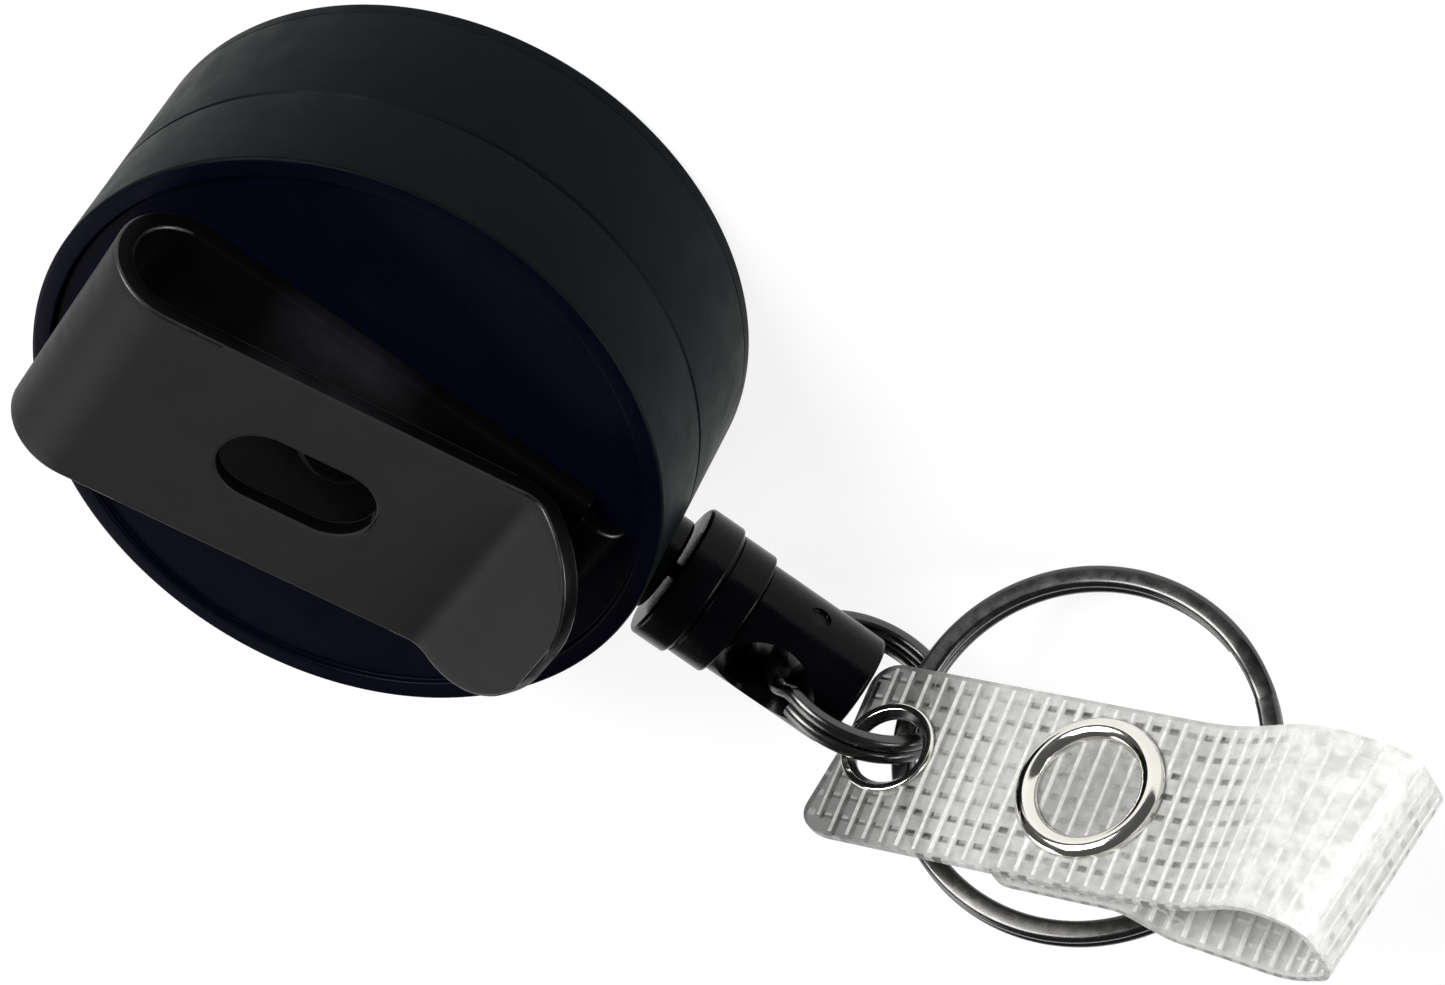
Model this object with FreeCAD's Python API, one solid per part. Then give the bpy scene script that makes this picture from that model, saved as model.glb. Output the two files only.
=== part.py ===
import FreeCAD, Part
import math
import os

# Retractable badge reel: a round drum case with a belt clip, a cord on a sprung spool,
# an end fitting with two split rings, and a clear strap that closes with a snap.
# Millimetres.  The origin is the centre of the flat front face, on which the case lies.
# +Z runs through the case to the belt clip, and +X is the way the cord comes out.

Vector = FreeCAD.Vector
Rotation = FreeCAD.Rotation
Placement = FreeCAD.Placement
X_AXIS = Vector(1, 0, 0)
Y_AXIS = Vector(0, 1, 0)
Z_AXIS = Vector(0, 0, 1)
ORIGIN = Vector(0, 0, 0)
TINY = 1e-4                # lengths under this count as nothing

# ---------------------------------------------------------------- driving dimensions

# Case
CASE_RADIUS = 20.0
CASE_HEIGHT = 16.5
SIDE_WALL = 1.6
FRONT_WALL = 1.5
REAR_WALL = 1.5
SEAM_HEIGHT = 9.6          # the two shells meet here, and the cord leaves at this height
SEAM_GROOVE = 0.15
FRONT_BEVEL = 1.7
FRONT_BEVEL_DEPTH = 0.9
FRONT_ROUND = 0.3          # where the bevel meets the flat front
BEVEL_ROUND = 0.6          # where the bevel meets the side
RIM_WIDTH = 1.3
RIM_ROUND = 0.45
REAR_RECESS = 0.4
TONGUE_LENGTH = 2.0
TONGUE_THICKNESS = 0.7
SHELL_FIT = 0.05
INNER_CORNER = 1.0
CUT_PAST = 1.0             # how far a cutting shape runs past the face that it opens

# Centre post, thrust washers and the rivet of the clip
POST_RADIUS = 2.5
POST_BOSS_RADIUS = 4.4
POST_BOSS_HEIGHT = 0.5
POST_SEAT_DEPTH = 0.75     # how deep the post stands in the front wall
POST_SLOT_WIDTH = 0.5
RIVET_SHANK_RADIUS = 1.2
RIVET_HEAD_RADIUS = 2.6
RIVET_HEAD_HEIGHT = 0.8
RIVET_HEAD_TAPER = 0.65
RIVET_HEAD_EDGE = 0.1
RIVET_HEAD_ROUND = 0.8
RIVET_DEPTH = 3.0
SEAT_GAP = 0.02
WASHER_THICKNESS = 0.5
WASHER_RADIUS = 4.2

# Spool
RUNNING_GAP = 0.08
END_PLAY = 0.15
SPOOL_CLEARANCE = 1.6      # between the spool's rim and the side wall
SPOOL_HUB_RADIUS = 9.0
SPOOL_HUB_WALL = 1.4
SPOOL_BEARING_RADIUS = 4.2
SPOOL_FLANGE = 0.8
SPOOL_CUP_WALL = 1.0
SPOOL_CUP_CORNER = 0.3
SPOOL_ROUND = 0.25
GROOVE_WIDTH = 3.2
GROOVE_CORNER = 0.2
COVER_THICKNESS = 0.6
COVER_HOLE_RADIUS = 5.0
COVER_ROUND = 0.2
FLANGE_HOLE_COUNT = 6
FLANGE_HOLE_RADIUS = 1.1
HUB_NOTCH_COUNT = 3
HUB_NOTCH_WIDTH = 2.4
HUB_NOTCH_DEPTH = 1.0

# Spiral spring
SPRING_STRIP = 0.25
SPRING_TURNS = 11
SPRING_SIDE_GAP = 0.075    # to the cup's floor and to its cover
SPRING_START_GAP = 0.6     # from the post to the first turn
SPRING_RIM_GAP = 1.7       # from the last turn to the cup's wall
SPRING_TAIL_REACH = 0.5    # how near the tail comes to the post's middle
SPRING_HOOK_GAP = 0.3      # what the slot in the cup's wall has to spare

# Cord
CORD_DIAMETER = 1.0
CORD_LENGTH = 900.0
CORD_TOUCH = 0.05
CORD_BEND_RADIUS = 3.0
CORD_HOLE_GAP = 0.2        # round the cord in the end cap
PACK_SIDE_GAP = 0.06
PACK_CORNER = 0.4
KNOT_RADIUS = 1.05
KNOT_GAP = 0.1

# Exit bush in the side of the case
BUSH_RADIUS = 2.6
BUSH_FLANGE_RADIUS = 3.1
BUSH_FLANGE = 0.8
BUSH_BORE_GAP = 0.3        # round the cord in the bush
BUSH_MOUTH = 1.9
BUSH_ROUND = 1.0
BUSH_LIP = 0.3
BUSH_INSIDE = 0.9

# End fitting on the cord
FITTING_GAP = 0.3
COLLAR_RADIUS = 4.5
COLLAR_LENGTH = 2.5
NECK_RADIUS = 4.2
NECK_LENGTH = 2.5
SLEEVE_RADIUS = 3.78
SLEEVE_LENGTH = 8.5
SLEEVE_ROUND = 0.35
COLLAR_ROUND = 0.35
COLLAR_EDGE = 0.25
NECK_EDGE = 0.15           # where the neck and the sleeve meet
CAP_WALL = 0.8
CAP_LIP = 1.0
STUB_RADIUS = 2.35
STUB_FLANGE_RADIUS = 3.2
STUB_FLANGE = 0.5
STUB_FLANGE_ROUND = 0.2
SWIVEL_GAP = 0.1
CROSS_HOLE_RADIUS = 1.65
CROSS_HOLE_OFFSET = 3.3    # from the inner end of the sleeve to the hole's axis
CROSS_HOLE_FLARE = 5.0     # radius of the curve by which the hole widens
CROSS_HOLE_PAST = 0.4      # how far that curve goes on outside the sleeve
DIMPLE_RADIUS = 0.7
DIMPLE_DEPTH = 0.3
DIMPLE_SHIFT = 0.6         # past the cross hole, on the side of the sleeve

# Split rings: two flat coils of one wire, with a crossing between its ends
SMALL_RING_RADIUS = 5.43   # to the middle of the wire
SMALL_WIRE = 1.0           # across the wire, in the plane of the ring
SMALL_COIL = 0.95          # height of one coil
SMALL_RING_TURN = 12.95    # the ring's plane, turned about the cross hole
SMALL_RING_TILT = 6.5      # and leaned over about its own width
SMALL_RING_LIFT = 0.3      # its middle above the cord's height
SMALL_RING_SPIN = 150.0
LARGE_RING_RADIUS = 11.25
LARGE_WIRE = 1.34
LARGE_COIL = 0.8
LARGE_RING_ANGLE = -7.2    # where it hangs, in degrees round the small ring
LARGE_RING_SLACK = 0.765   # between the two wires, across the small ring
LARGE_RING_SHIFT = 0.09    # along the small ring's axis
LARGE_RING_YAW = 9.63      # its lie in the small ring's frame
LARGE_RING_PITCH = -19.61
LARGE_RING_ROLL = -140.1
LARGE_RING_SPIN = 54.5
COIL_GAP = 0.04
COIL_CROSSING = 22.0       # degrees of the ring that the crossing takes
CROSSING_STEPS = 6
WIRE_CORNER = 0.3

# Belt clip, one bent strip
CLIP_WIDTH = 15.7
CLIP_THICKNESS = 1.2
CLIP_BEND_INSET = 2.5      # from the rim's edge to the outside of the big bend
CLIP_BEND_STRAIGHT = 0.08  # straight stretch between the two curves of the big bend
CLIP_LEG_RISE = 5.15       # the upper leg's outside above the rim, over the centre line
CLIP_LEG_SLOPE = 11.9      # degrees by which the upper leg leans to the case
CLIP_TIP_START = 11.0
CLIP_TIP_LENGTH = 6.9
CLIP_TIP_ANGLE = 27.0
CLIP_TIP_BEND = 2.5
CLIP_TIP_CORNER = 6.8
CLIP_TAB_INSET = 4.0       # from the rim's edge to the middle of the hooked end
CLIP_TAB_BEND = 1.0
CLIP_TAB_DEPTH = 2.6
CLIP_TAB_WIDTH = 13.0
CLIP_TAB_GAP = 0.15
SLOT_LENGTH = 9.8
SLOT_WIDTH = 5.5
SLOT_CENTRE = -1.0

# Strap.  Its own frame starts at the eyelet: +X to the fold, +Z out of the snap's cap.
STRAP_THICKNESS = 0.5
STRAP_EDGE_LOW = -6.3
STRAP_EDGE_HIGH = 5.6
STRAP_MARGIN = 3.0         # past the eyelet
STRAP_END_CORNER = 1.8
STRAP_YAW = 44.6
STRAP_PITCH = 12.4
STRAP_ROLL = -68.2
STRAP_LAYER_GAP = 1.1
STRAP_FLAP_PAST = 5.5      # how far the under layer goes on past the snap
EYELET_ANGLE = 55.3        # where it hangs, in degrees round the small ring
EYELET_OUTWARD = 0.07      # from the middle of the small ring's wire
EYELET_RADIUS = 3.0
EYELET_HOLE_RADIUS = 2.2
EYELET_ROLL = 0.3
EYELET_EDGE = 0.15

# The strap's loop past the snap: places along and across the strap, and bend radii
LOOP_START = 7.4
LOOP_START_BEND = 10.0
LOOP_CREST = 13.6
LOOP_CREST_RISE = 3.0
LOOP_CREST_BEND = 5.0
FOLD_REACH = 17.9
FOLD_TOP_RISE = 1.2
FOLD_TOP_BEND = 2.4
FOLD_LOW_DROP = 5.0
FOLD_LOW_BEND = 2.2
LOOP_KEEL = 13.3
LOOP_KEEL_DROP = 6.6
LOOP_KEEL_BEND = 5.0
LOOP_RETURN = 6.1
LOOP_RETURN_DROP = 4.4
LOOP_RETURN_BEND = 2.0
LOOP_CLOSE = 3.7
LOOP_CLOSE_BEND = 1.5

# Snap
SNAP_DISTANCE = 13.8       # from the eyelet
SNAP_RADIUS = 4.65
SNAP_HOLE_RADIUS = 3.2
SNAP_RING_HEIGHT = 0.75
SNAP_RING_ROUND = 0.6
SNAP_RING_EDGE = 0.3
SNAP_BARREL_RADIUS = 2.2
SNAP_BARREL_WALL = 0.35
SNAP_BARREL_RISE = 0.3     # the barrel's end above the strap
SNAP_SOCKET_INSET = 0.6    # from the ring's outside to the socket's
SNAP_STUD_RADIUS = 1.7
SNAP_STUD_RISE = 0.9
SNAP_STUD_ROUND = 0.3
SNAP_PLATE_RADIUS = 2.9
SNAP_PLATE_THICKNESS = 0.3
SNAP_EDGE = 0.1
SNAP_GRIP = 0.12

# ---------------------------------------------------------------- worked-out places

CAVITY_RADIUS = CASE_RADIUS - SIDE_WALL
SPOOL_RADIUS = CAVITY_RADIUS - SPOOL_CLEARANCE
CUP_RADIUS = SPOOL_RADIUS - SPOOL_CUP_WALL
REAR_FACE = CASE_HEIGHT - REAR_RECESS
CAVITY_TOP = REAR_FACE - REAR_WALL
SPOOL_BASE = FRONT_WALL + POST_BOSS_HEIGHT + WASHER_THICKNESS + END_PLAY
GROOVE_LOW = SEAM_HEIGHT - GROOVE_WIDTH / 2
GROOVE_HIGH = SEAM_HEIGHT + GROOVE_WIDTH / 2
WEB_LOW = GROOVE_LOW - SPOOL_FLANGE
SPRING_LOW = SPOOL_BASE + COVER_THICKNESS + SPRING_SIDE_GAP
SPRING_HEIGHT = WEB_LOW - SPRING_SIDE_GAP - SPRING_LOW
SPRING_START = POST_RADIUS + SPRING_START_GAP
SPRING_PITCH = (CUP_RADIUS - SPRING_RIM_GAP - SPRING_START) / SPRING_TURNS
PACK_RADIUS = math.sqrt(
    SPOOL_HUB_RADIUS ** 2 + CORD_LENGTH * CORD_DIAMETER ** 2 / (math.pi * GROOVE_WIDTH)
)
COLLAR_START = CASE_RADIUS + BUSH_FLANGE + FITTING_GAP
NECK_START = COLLAR_START + COLLAR_LENGTH
SLEEVE_START = NECK_START + NECK_LENGTH
SLEEVE_END = SLEEVE_START + SLEEVE_LENGTH
CROSS_HOLE_X = SLEEVE_START + CROSS_HOLE_OFFSET
KNOT_FACE = COLLAR_START + CAP_WALL + KNOT_GAP
CAP_LIP_FACE = SLEEVE_START - CAP_LIP
BUSH_INNER = CAVITY_RADIUS - BUSH_INSIDE
BUSH_OUTER = CASE_RADIUS + BUSH_FLANGE
CLIP_TAB_X = CASE_RADIUS - CLIP_TAB_INSET
CLIP_BEND_X = CLIP_BEND_INSET - CASE_RADIUS
CORD_LINE = Vector(0, 0, SEAM_HEIGHT)
SOCKET_DEPTH = STRAP_LAYER_GAP / 2 - SNAP_GRIP


# ---------------------------------------------------------------- geometry helpers

def unit(a, b):
    """Unit vector from a to b."""
    step = b.sub(a)
    step.normalize()
    return step


def corner_arc(before, corner, after, radius):
    """The tangent arc that rounds a corner, as its edge and its two ends."""
    back = unit(corner, before)
    ahead = unit(corner, after)
    half = math.acos(max(-1.0, min(1.0, back.dot(ahead)))) / 2
    reach = radius / math.tan(half)
    start = corner + back * reach
    end = corner + ahead * reach
    middle = unit(corner, (start + end) * 0.5)
    apex = corner + middle * (radius / math.sin(half) - radius)
    return Part.Arc(start, apex, end).toShape(), start, end


def rounded_edges(points, radii):
    """Straight runs between points, with a tangent arc at each inner point."""
    edges = []
    here = points[0]
    for index in range(1, len(points) - 1):
        if radii[index] <= 0:
            edges.append(Part.makeLine(here, points[index]))
            here = points[index]
            continue
        around = points[index - 1:index + 2]
        arc, start, end = corner_arc(*around, radii[index])
        if here.distanceToPoint(start) > TINY:
            edges.append(Part.makeLine(here, start))
        edges.append(arc)
        here = end
    if here.distanceToPoint(points[-1]) > TINY:
        edges.append(Part.makeLine(here, points[-1]))
    return edges


def closed_face(corners):
    """A flat face from (point, radius) corners, the first of them a plain one."""
    points = [corner[0] for corner in corners] + [corners[0][0]]
    radii = [corner[1] for corner in corners] + [0]
    return Part.Face(Part.Wire(rounded_edges(points, radii)))


def turned(profile, axis=Z_AXIS, base=ORIGIN):
    """A solid of revolution from (radius, height, corner radius) rows about Z."""
    corners = [(Vector(row[0], 0, row[1]), row[2] if len(row) > 2 else 0) for row in profile]
    solid = closed_face(corners).revolve(ORIGIN, Z_AXIS, 360)
    solid.Placement = Placement(base, Rotation(Z_AXIS, axis))
    return solid


def turned_by(yaw, pitch, roll):
    """The rotation that rolls about X, then lifts X by the pitch, and last yaws about Z."""
    turn = Rotation(Z_AXIS, yaw).multiply(Rotation(Y_AXIS, -pitch))
    return turn.multiply(Rotation(X_AXIS, roll))


def round_about(angle, radius):
    """A point of XY at an angle in degrees and a distance from the origin."""
    return Rotation(Z_AXIS, angle).multVec(X_AXIS * radius)


def cylinder(radius, low, high, centre=ORIGIN, axis=Z_AXIS):
    """A plain cylinder from low to high along an axis through centre."""
    return Part.makeCylinder(radius, high - low, centre + axis * low, axis)


def offset_points(points, distance):
    """The points of a path in XZ moved sideways by a distance, mitred at the corners."""
    moved = []
    for index, point in enumerate(points):
        ways = []
        if index > 0:
            ways.append(unit(points[index - 1], point))
        if index < len(points) - 1:
            ways.append(unit(point, points[index + 1]))
        sides = [Vector(-way.z, 0, way.x) for way in ways]
        side = sides[0] if len(sides) == 1 else sides[0] + sides[1]
        side.normalize()
        moved.append(point + side * (distance / side.dot(sides[0])))
    return moved


def turn_sign(before, corner, after):
    """+1 where a path in XZ turns to its left side, -1 where it turns to its right."""
    first = corner.sub(before)
    second = after.sub(corner)
    return 1 if first.x * second.z - first.z * second.x > 0 else -1


def bent_strip(corners, thickness, low, high):
    """A strip that follows (point, bend radius) corners in XZ, from y = low to y = high."""
    points = [corner[0] for corner in corners]
    sides = []
    for distance in (thickness / 2, -thickness / 2):
        moved = offset_points(points, distance)
        radii = [0] * len(points)
        for index in range(1, len(points) - 1):
            sign = turn_sign(points[index - 1], points[index], points[index + 1])
            radii[index] = corners[index][1] - sign * distance
        sides.append((moved, radii))
    edges = rounded_edges(*sides[0]) + rounded_edges(*sides[1])
    for end in (0, -1):
        edges.append(Part.makeLine(sides[0][0][end], sides[1][0][end]))
    face = Part.Face(Part.Wire(Part.__sortEdges__(edges)))
    face.translate(Vector(0, low, 0))
    return face.extrude(Vector(0, high - low, 0))


def round_strip_end(strip, near, radius):
    """Rounds the two corners of a strip's end, which lies next to a point of XZ."""
    edges = []
    for edge in strip.Edges:
        ends = [vertex.Point for vertex in edge.Vertexes]
        if len(ends) != 2 or abs(ends[0].y - ends[1].y) > TINY:
            continue
        middle = (ends[0] + ends[1]) * 0.5
        if Vector(middle.x - near.x, 0, middle.z - near.z).Length < TINY:
            edges.append(edge)
    return strip.makeFillet(radius, edges)


def stadium(length, width, low, high, centre_x):
    """A slot-shaped prism along Z, long in X."""
    half = (length - width) / 2
    radius = width / 2
    first = Vector(centre_x - half, radius, low)
    second = Vector(centre_x + half, radius, low)
    third = Vector(centre_x + half, -radius, low)
    fourth = Vector(centre_x - half, -radius, low)
    edges = [
        Part.makeLine(first, second),
        Part.Arc(second, Vector(centre_x + half + radius, 0, low), third).toShape(),
        Part.makeLine(third, fourth),
        Part.Arc(fourth, Vector(centre_x - half - radius, 0, low), first).toShape(),
    ]
    return Part.Face(Part.Wire(edges)).extrude(Vector(0, 0, high - low))


def split_ring(radius, wire, coil):
    """One wire in two flat coils about Z, crossing from the lower to the upper one."""
    half = wire / 2
    rise = coil + COIL_GAP
    low = -rise / 2

    def section(angle, height):
        corners = [
            (Vector(radius - half, 0, height), 0),
            (Vector(radius - half, 0, height - coil / 2), WIRE_CORNER),
            (Vector(radius + half, 0, height - coil / 2), WIRE_CORNER),
            (Vector(radius + half, 0, height + coil / 2), WIRE_CORNER),
            (Vector(radius - half, 0, height + coil / 2), WIRE_CORNER),
        ]
        face = closed_face(corners)
        face.rotate(ORIGIN, Z_AXIS, angle)
        return face

    lower = section(0, low).revolve(ORIGIN, Z_AXIS, 360 - COIL_CROSSING)
    upper = section(0, low + rise).revolve(ORIGIN, Z_AXIS, 360 - COIL_CROSSING)
    wires = []
    for index in range(CROSSING_STEPS + 1):
        share = index / CROSSING_STEPS
        lift = (1 - math.cos(math.pi * share)) / 2
        angle = 360 - COIL_CROSSING * (1 - share)
        wires.append(section(angle, low + rise * lift).OuterWire)
    crossing = Part.makeLoft(wires, True, True)
    return lower.fuse([crossing, upper]).removeSplitter().Solids[0]


# ---------------------------------------------------------------- case

def port_cutter():
    """The round way through the side wall that holds the exit bush."""
    return cylinder(BUSH_RADIUS, BUSH_INNER, CASE_RADIUS + CUT_PAST, CORD_LINE, X_AXIS)


def front_shell():
    tongue_inner = CAVITY_RADIUS + TONGUE_THICKNESS + SHELL_FIT
    profile = [
        (0, 0),
        (CASE_RADIUS - FRONT_BEVEL_DEPTH, 0, FRONT_ROUND),
        (CASE_RADIUS, FRONT_BEVEL, BEVEL_ROUND),
        (CASE_RADIUS, SEAM_HEIGHT - SEAM_GROOVE),
        (CASE_RADIUS - SEAM_GROOVE, SEAM_HEIGHT),
        (tongue_inner, SEAM_HEIGHT),
        (tongue_inner, SEAM_HEIGHT - TONGUE_LENGTH - SHELL_FIT),
        (CAVITY_RADIUS, SEAM_HEIGHT - TONGUE_LENGTH - SHELL_FIT),
        (CAVITY_RADIUS, FRONT_WALL, INNER_CORNER),
        (POST_BOSS_RADIUS, FRONT_WALL),
        (POST_BOSS_RADIUS, FRONT_WALL + POST_BOSS_HEIGHT),
        (POST_RADIUS + SEAT_GAP, FRONT_WALL + POST_BOSS_HEIGHT),
        (POST_RADIUS + SEAT_GAP, FRONT_WALL - POST_SEAT_DEPTH),
        (0, FRONT_WALL - POST_SEAT_DEPTH),
    ]
    return turned(profile).cut(port_cutter())


def tab_slot():
    """The way through the rear wall for the clip's hooked end."""
    reach = CLIP_THICKNESS / 2 + CLIP_TAB_GAP
    half = CLIP_TAB_WIDTH / 2 + CLIP_TAB_GAP
    low = CAVITY_TOP - CUT_PAST
    corner = Vector(CLIP_TAB_X - reach - CLIP_TAB_BEND, -half, low)
    return Part.makeBox(2 * reach + CLIP_TAB_BEND, 2 * half, CASE_HEIGHT - low, corner)


def rear_shell():
    rim_inner = CASE_RADIUS - RIM_WIDTH
    tongue_outer = CAVITY_RADIUS + TONGUE_THICKNESS
    profile = [
        (RIVET_SHANK_RADIUS + SEAT_GAP, REAR_FACE),
        (RIVET_SHANK_RADIUS + SEAT_GAP, CAVITY_TOP),
        (CAVITY_RADIUS, CAVITY_TOP, INNER_CORNER),
        (CAVITY_RADIUS, SEAM_HEIGHT - TONGUE_LENGTH),
        (tongue_outer, SEAM_HEIGHT - TONGUE_LENGTH),
        (tongue_outer, SEAM_HEIGHT + SHELL_FIT),
        (CASE_RADIUS - SEAM_GROOVE, SEAM_HEIGHT + SHELL_FIT),
        (CASE_RADIUS, SEAM_HEIGHT + SHELL_FIT + SEAM_GROOVE),
        (CASE_RADIUS, CASE_HEIGHT, RIM_ROUND),
        (rim_inner, CASE_HEIGHT, REAR_RECESS / 2),
        (rim_inner, REAR_FACE),
    ]
    shell = turned(profile).cut(port_cutter())
    return shell.cut(tab_slot())


def centre_post():
    """The fixed pin on which the spool turns, slotted for the spring's inner end."""
    low = FRONT_WALL - POST_SEAT_DEPTH + SEAT_GAP
    high = CAVITY_TOP - SEAT_GAP
    post = cylinder(POST_RADIUS, low, high)
    socket = cylinder(RIVET_SHANK_RADIUS + SEAT_GAP, high - RIVET_DEPTH, high)
    slot_top = SPRING_LOW + SPRING_HEIGHT + SPRING_STRIP
    slot_low = SPRING_LOW - SPRING_STRIP
    corner = Vector(0, -POST_SLOT_WIDTH / 2, slot_low)
    slot = Part.makeBox(POST_RADIUS * 2, POST_SLOT_WIDTH, slot_top - slot_low, corner)
    return post.cut([socket, slot])


def thrust_washer(low):
    profile = [
        (POST_RADIUS + RUNNING_GAP, low),
        (WASHER_RADIUS, low),
        (WASHER_RADIUS, low + WASHER_THICKNESS),
        (POST_RADIUS + RUNNING_GAP, low + WASHER_THICKNESS),
    ]
    return turned(profile)


def exit_bush():
    """The smooth eye that guides the cord, with a trumpet mouth inside the case."""
    bore = CORD_DIAMETER / 2 + BUSH_BORE_GAP
    seat = CASE_RADIUS + SHELL_FIT
    profile = [
        (bore, BUSH_OUTER),
        (bore, BUSH_INNER + BUSH_MOUTH, BUSH_ROUND),
        (BUSH_RADIUS - BUSH_LIP, BUSH_INNER),
        (BUSH_RADIUS, BUSH_INNER),
        (BUSH_RADIUS, seat),
        (BUSH_FLANGE_RADIUS, seat, BUSH_LIP / 2),
        (BUSH_FLANGE_RADIUS, BUSH_OUTER, BUSH_LIP),
    ]
    return turned(profile, X_AXIS, CORD_LINE)


# ---------------------------------------------------------------- belt clip

def clip_corners():
    """Middle line of the bent strip in XZ, from the tab in the case to the free tip."""
    half = CLIP_THICKNESS / 2
    slope = math.radians(CLIP_LEG_SLOPE)
    tip = math.radians(CLIP_TIP_ANGLE)
    base_z = REAR_FACE + half
    bend_x = CLIP_BEND_X + half

    def leg(x):
        rise = CLIP_LEG_RISE - x * math.tan(slope) - half / math.cos(slope)
        return Vector(x, 0, CASE_HEIGHT + rise)

    tip_start = leg(CLIP_TIP_START)
    bend_high = leg(bend_x)
    half_turn = math.radians(90 - CLIP_LEG_SLOPE) / 2
    bend_radius = (bend_high.z - base_z - CLIP_BEND_STRAIGHT) / (1 + 1 / math.tan(half_turn))
    return [
        (Vector(CLIP_TAB_X, 0, REAR_FACE - CLIP_TAB_DEPTH), 0),
        (Vector(CLIP_TAB_X, 0, base_z), CLIP_TAB_BEND),
        (Vector(bend_x, 0, base_z), bend_radius),
        (bend_high, bend_radius),
        (tip_start, CLIP_TIP_BEND),
        (tip_start + Vector(math.cos(tip), 0, math.sin(tip)) * CLIP_TIP_LENGTH, 0),
    ]


def clip_shoulders():
    """What is cut away on both sides of the narrower hooked end."""
    low = REAR_FACE - CLIP_TAB_DEPTH - CUT_PAST
    high = REAR_FACE + CLIP_THICKNESS + CLIP_THICKNESS / 2
    wide = (CLIP_WIDTH - CLIP_TAB_WIDTH) / 2 + CUT_PAST
    first = CLIP_TAB_X - CLIP_TAB_BEND - CLIP_THICKNESS
    blocks = []
    for side in (-1, 1):
        middle = side * (CLIP_TAB_WIDTH + wide) / 2
        corner = Vector(first, middle - wide / 2, low)
        blocks.append(Part.makeBox(CLIP_TAB_INSET, wide, high - low, corner))
    return blocks


def belt_clip():
    corners = clip_corners()
    strip = bent_strip(corners, CLIP_THICKNESS, -CLIP_WIDTH / 2, CLIP_WIDTH / 2)
    strip = round_strip_end(strip, corners[-1][0], CLIP_TIP_CORNER)
    base_top = REAR_FACE + CLIP_THICKNESS
    leg_top = CASE_HEIGHT + CLIP_LEG_RISE
    slot = stadium(SLOT_LENGTH, SLOT_WIDTH, base_top + CUT_PAST, leg_top + SLOT_LENGTH, SLOT_CENTRE)
    rivet_hole = cylinder(RIVET_SHANK_RADIUS + SEAT_GAP, REAR_FACE - CUT_PAST, base_top + CUT_PAST)
    return strip.cut([slot, rivet_hole] + clip_shoulders())


def clip_rivet():
    top = REAR_FACE + CLIP_THICKNESS
    low = CAVITY_TOP - RIVET_DEPTH + SEAT_GAP * 2
    profile = [
        (0, low),
        (RIVET_SHANK_RADIUS, low),
        (RIVET_SHANK_RADIUS, top),
        (RIVET_HEAD_RADIUS, top, RIVET_HEAD_EDGE),
        (RIVET_HEAD_RADIUS - RIVET_HEAD_TAPER, top + RIVET_HEAD_HEIGHT, RIVET_HEAD_ROUND),
        (0, top + RIVET_HEAD_HEIGHT),
    ]
    return turned(profile)


# ---------------------------------------------------------------- spool and spring

def spool():
    """The drum: a cord groove above, and a cup for the spring below."""
    hub_inner = SPOOL_HUB_RADIUS - SPOOL_HUB_WALL
    bore = POST_RADIUS + RUNNING_GAP
    top = CAVITY_TOP - WASHER_THICKNESS - END_PLAY
    cup_low = SPOOL_BASE + COVER_THICKNESS
    flange_top = GROOVE_HIGH + SPOOL_FLANGE
    profile = [
        (bore, WEB_LOW),
        (CUP_RADIUS, WEB_LOW, SPOOL_CUP_CORNER),
        (CUP_RADIUS, cup_low),
        (SPOOL_RADIUS, cup_low),
        (SPOOL_RADIUS, GROOVE_LOW, SPOOL_ROUND),
        (SPOOL_HUB_RADIUS, GROOVE_LOW, GROOVE_CORNER),
        (SPOOL_HUB_RADIUS, GROOVE_HIGH, GROOVE_CORNER),
        (SPOOL_RADIUS, GROOVE_HIGH, SPOOL_ROUND),
        (SPOOL_RADIUS, flange_top, SPOOL_ROUND),
        (hub_inner, flange_top),
        (hub_inner, GROOVE_LOW),
        (SPOOL_BEARING_RADIUS, GROOVE_LOW),
        (SPOOL_BEARING_RADIUS, top),
        (bore, top),
    ]
    cuts = [spring_hook_slot(cup_low)]
    ring = (SPOOL_HUB_RADIUS + SPOOL_RADIUS) / 2
    for index in range(FLANGE_HOLE_COUNT):
        centre = round_about(360 * index / FLANGE_HOLE_COUNT, ring)
        cuts.append(cylinder(FLANGE_HOLE_RADIUS, GROOVE_HIGH - CUT_PAST, flange_top + CUT_PAST, centre))
    for index in range(HUB_NOTCH_COUNT):
        corner = Vector(SPOOL_BEARING_RADIUS + CUT_PAST, -HUB_NOTCH_WIDTH / 2, flange_top - HUB_NOTCH_DEPTH)
        reach = SPOOL_HUB_RADIUS - SPOOL_BEARING_RADIUS - CUT_PAST
        notch = Part.makeBox(reach, HUB_NOTCH_WIDTH, HUB_NOTCH_DEPTH + CUT_PAST, corner)
        notch.rotate(ORIGIN, Z_AXIS, 360 * (index + 0.5) / HUB_NOTCH_COUNT)
        cuts.append(notch)
    return turned(profile).cut(cuts)


def spring_hook_slot(low):
    """The slot in the cup's wall for the spring's outer end."""
    width = SPRING_STRIP + SPRING_HOOK_GAP
    corner = Vector(-SPOOL_RADIUS - CUT_PAST, -width / 2, low - CUT_PAST)
    return Part.makeBox(SPOOL_CUP_WALL + 2 * CUT_PAST, width, WEB_LOW - low + CUT_PAST, corner)


def spring_cover():
    """The disc that closes the spring's cup and turns with the spool."""
    top = SPOOL_BASE + COVER_THICKNESS - SEAT_GAP
    profile = [
        (COVER_HOLE_RADIUS, SPOOL_BASE),
        (SPOOL_RADIUS, SPOOL_BASE, COVER_ROUND),
        (SPOOL_RADIUS, top),
        (COVER_HOLE_RADIUS, top),
    ]
    return turned(profile)


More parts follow.
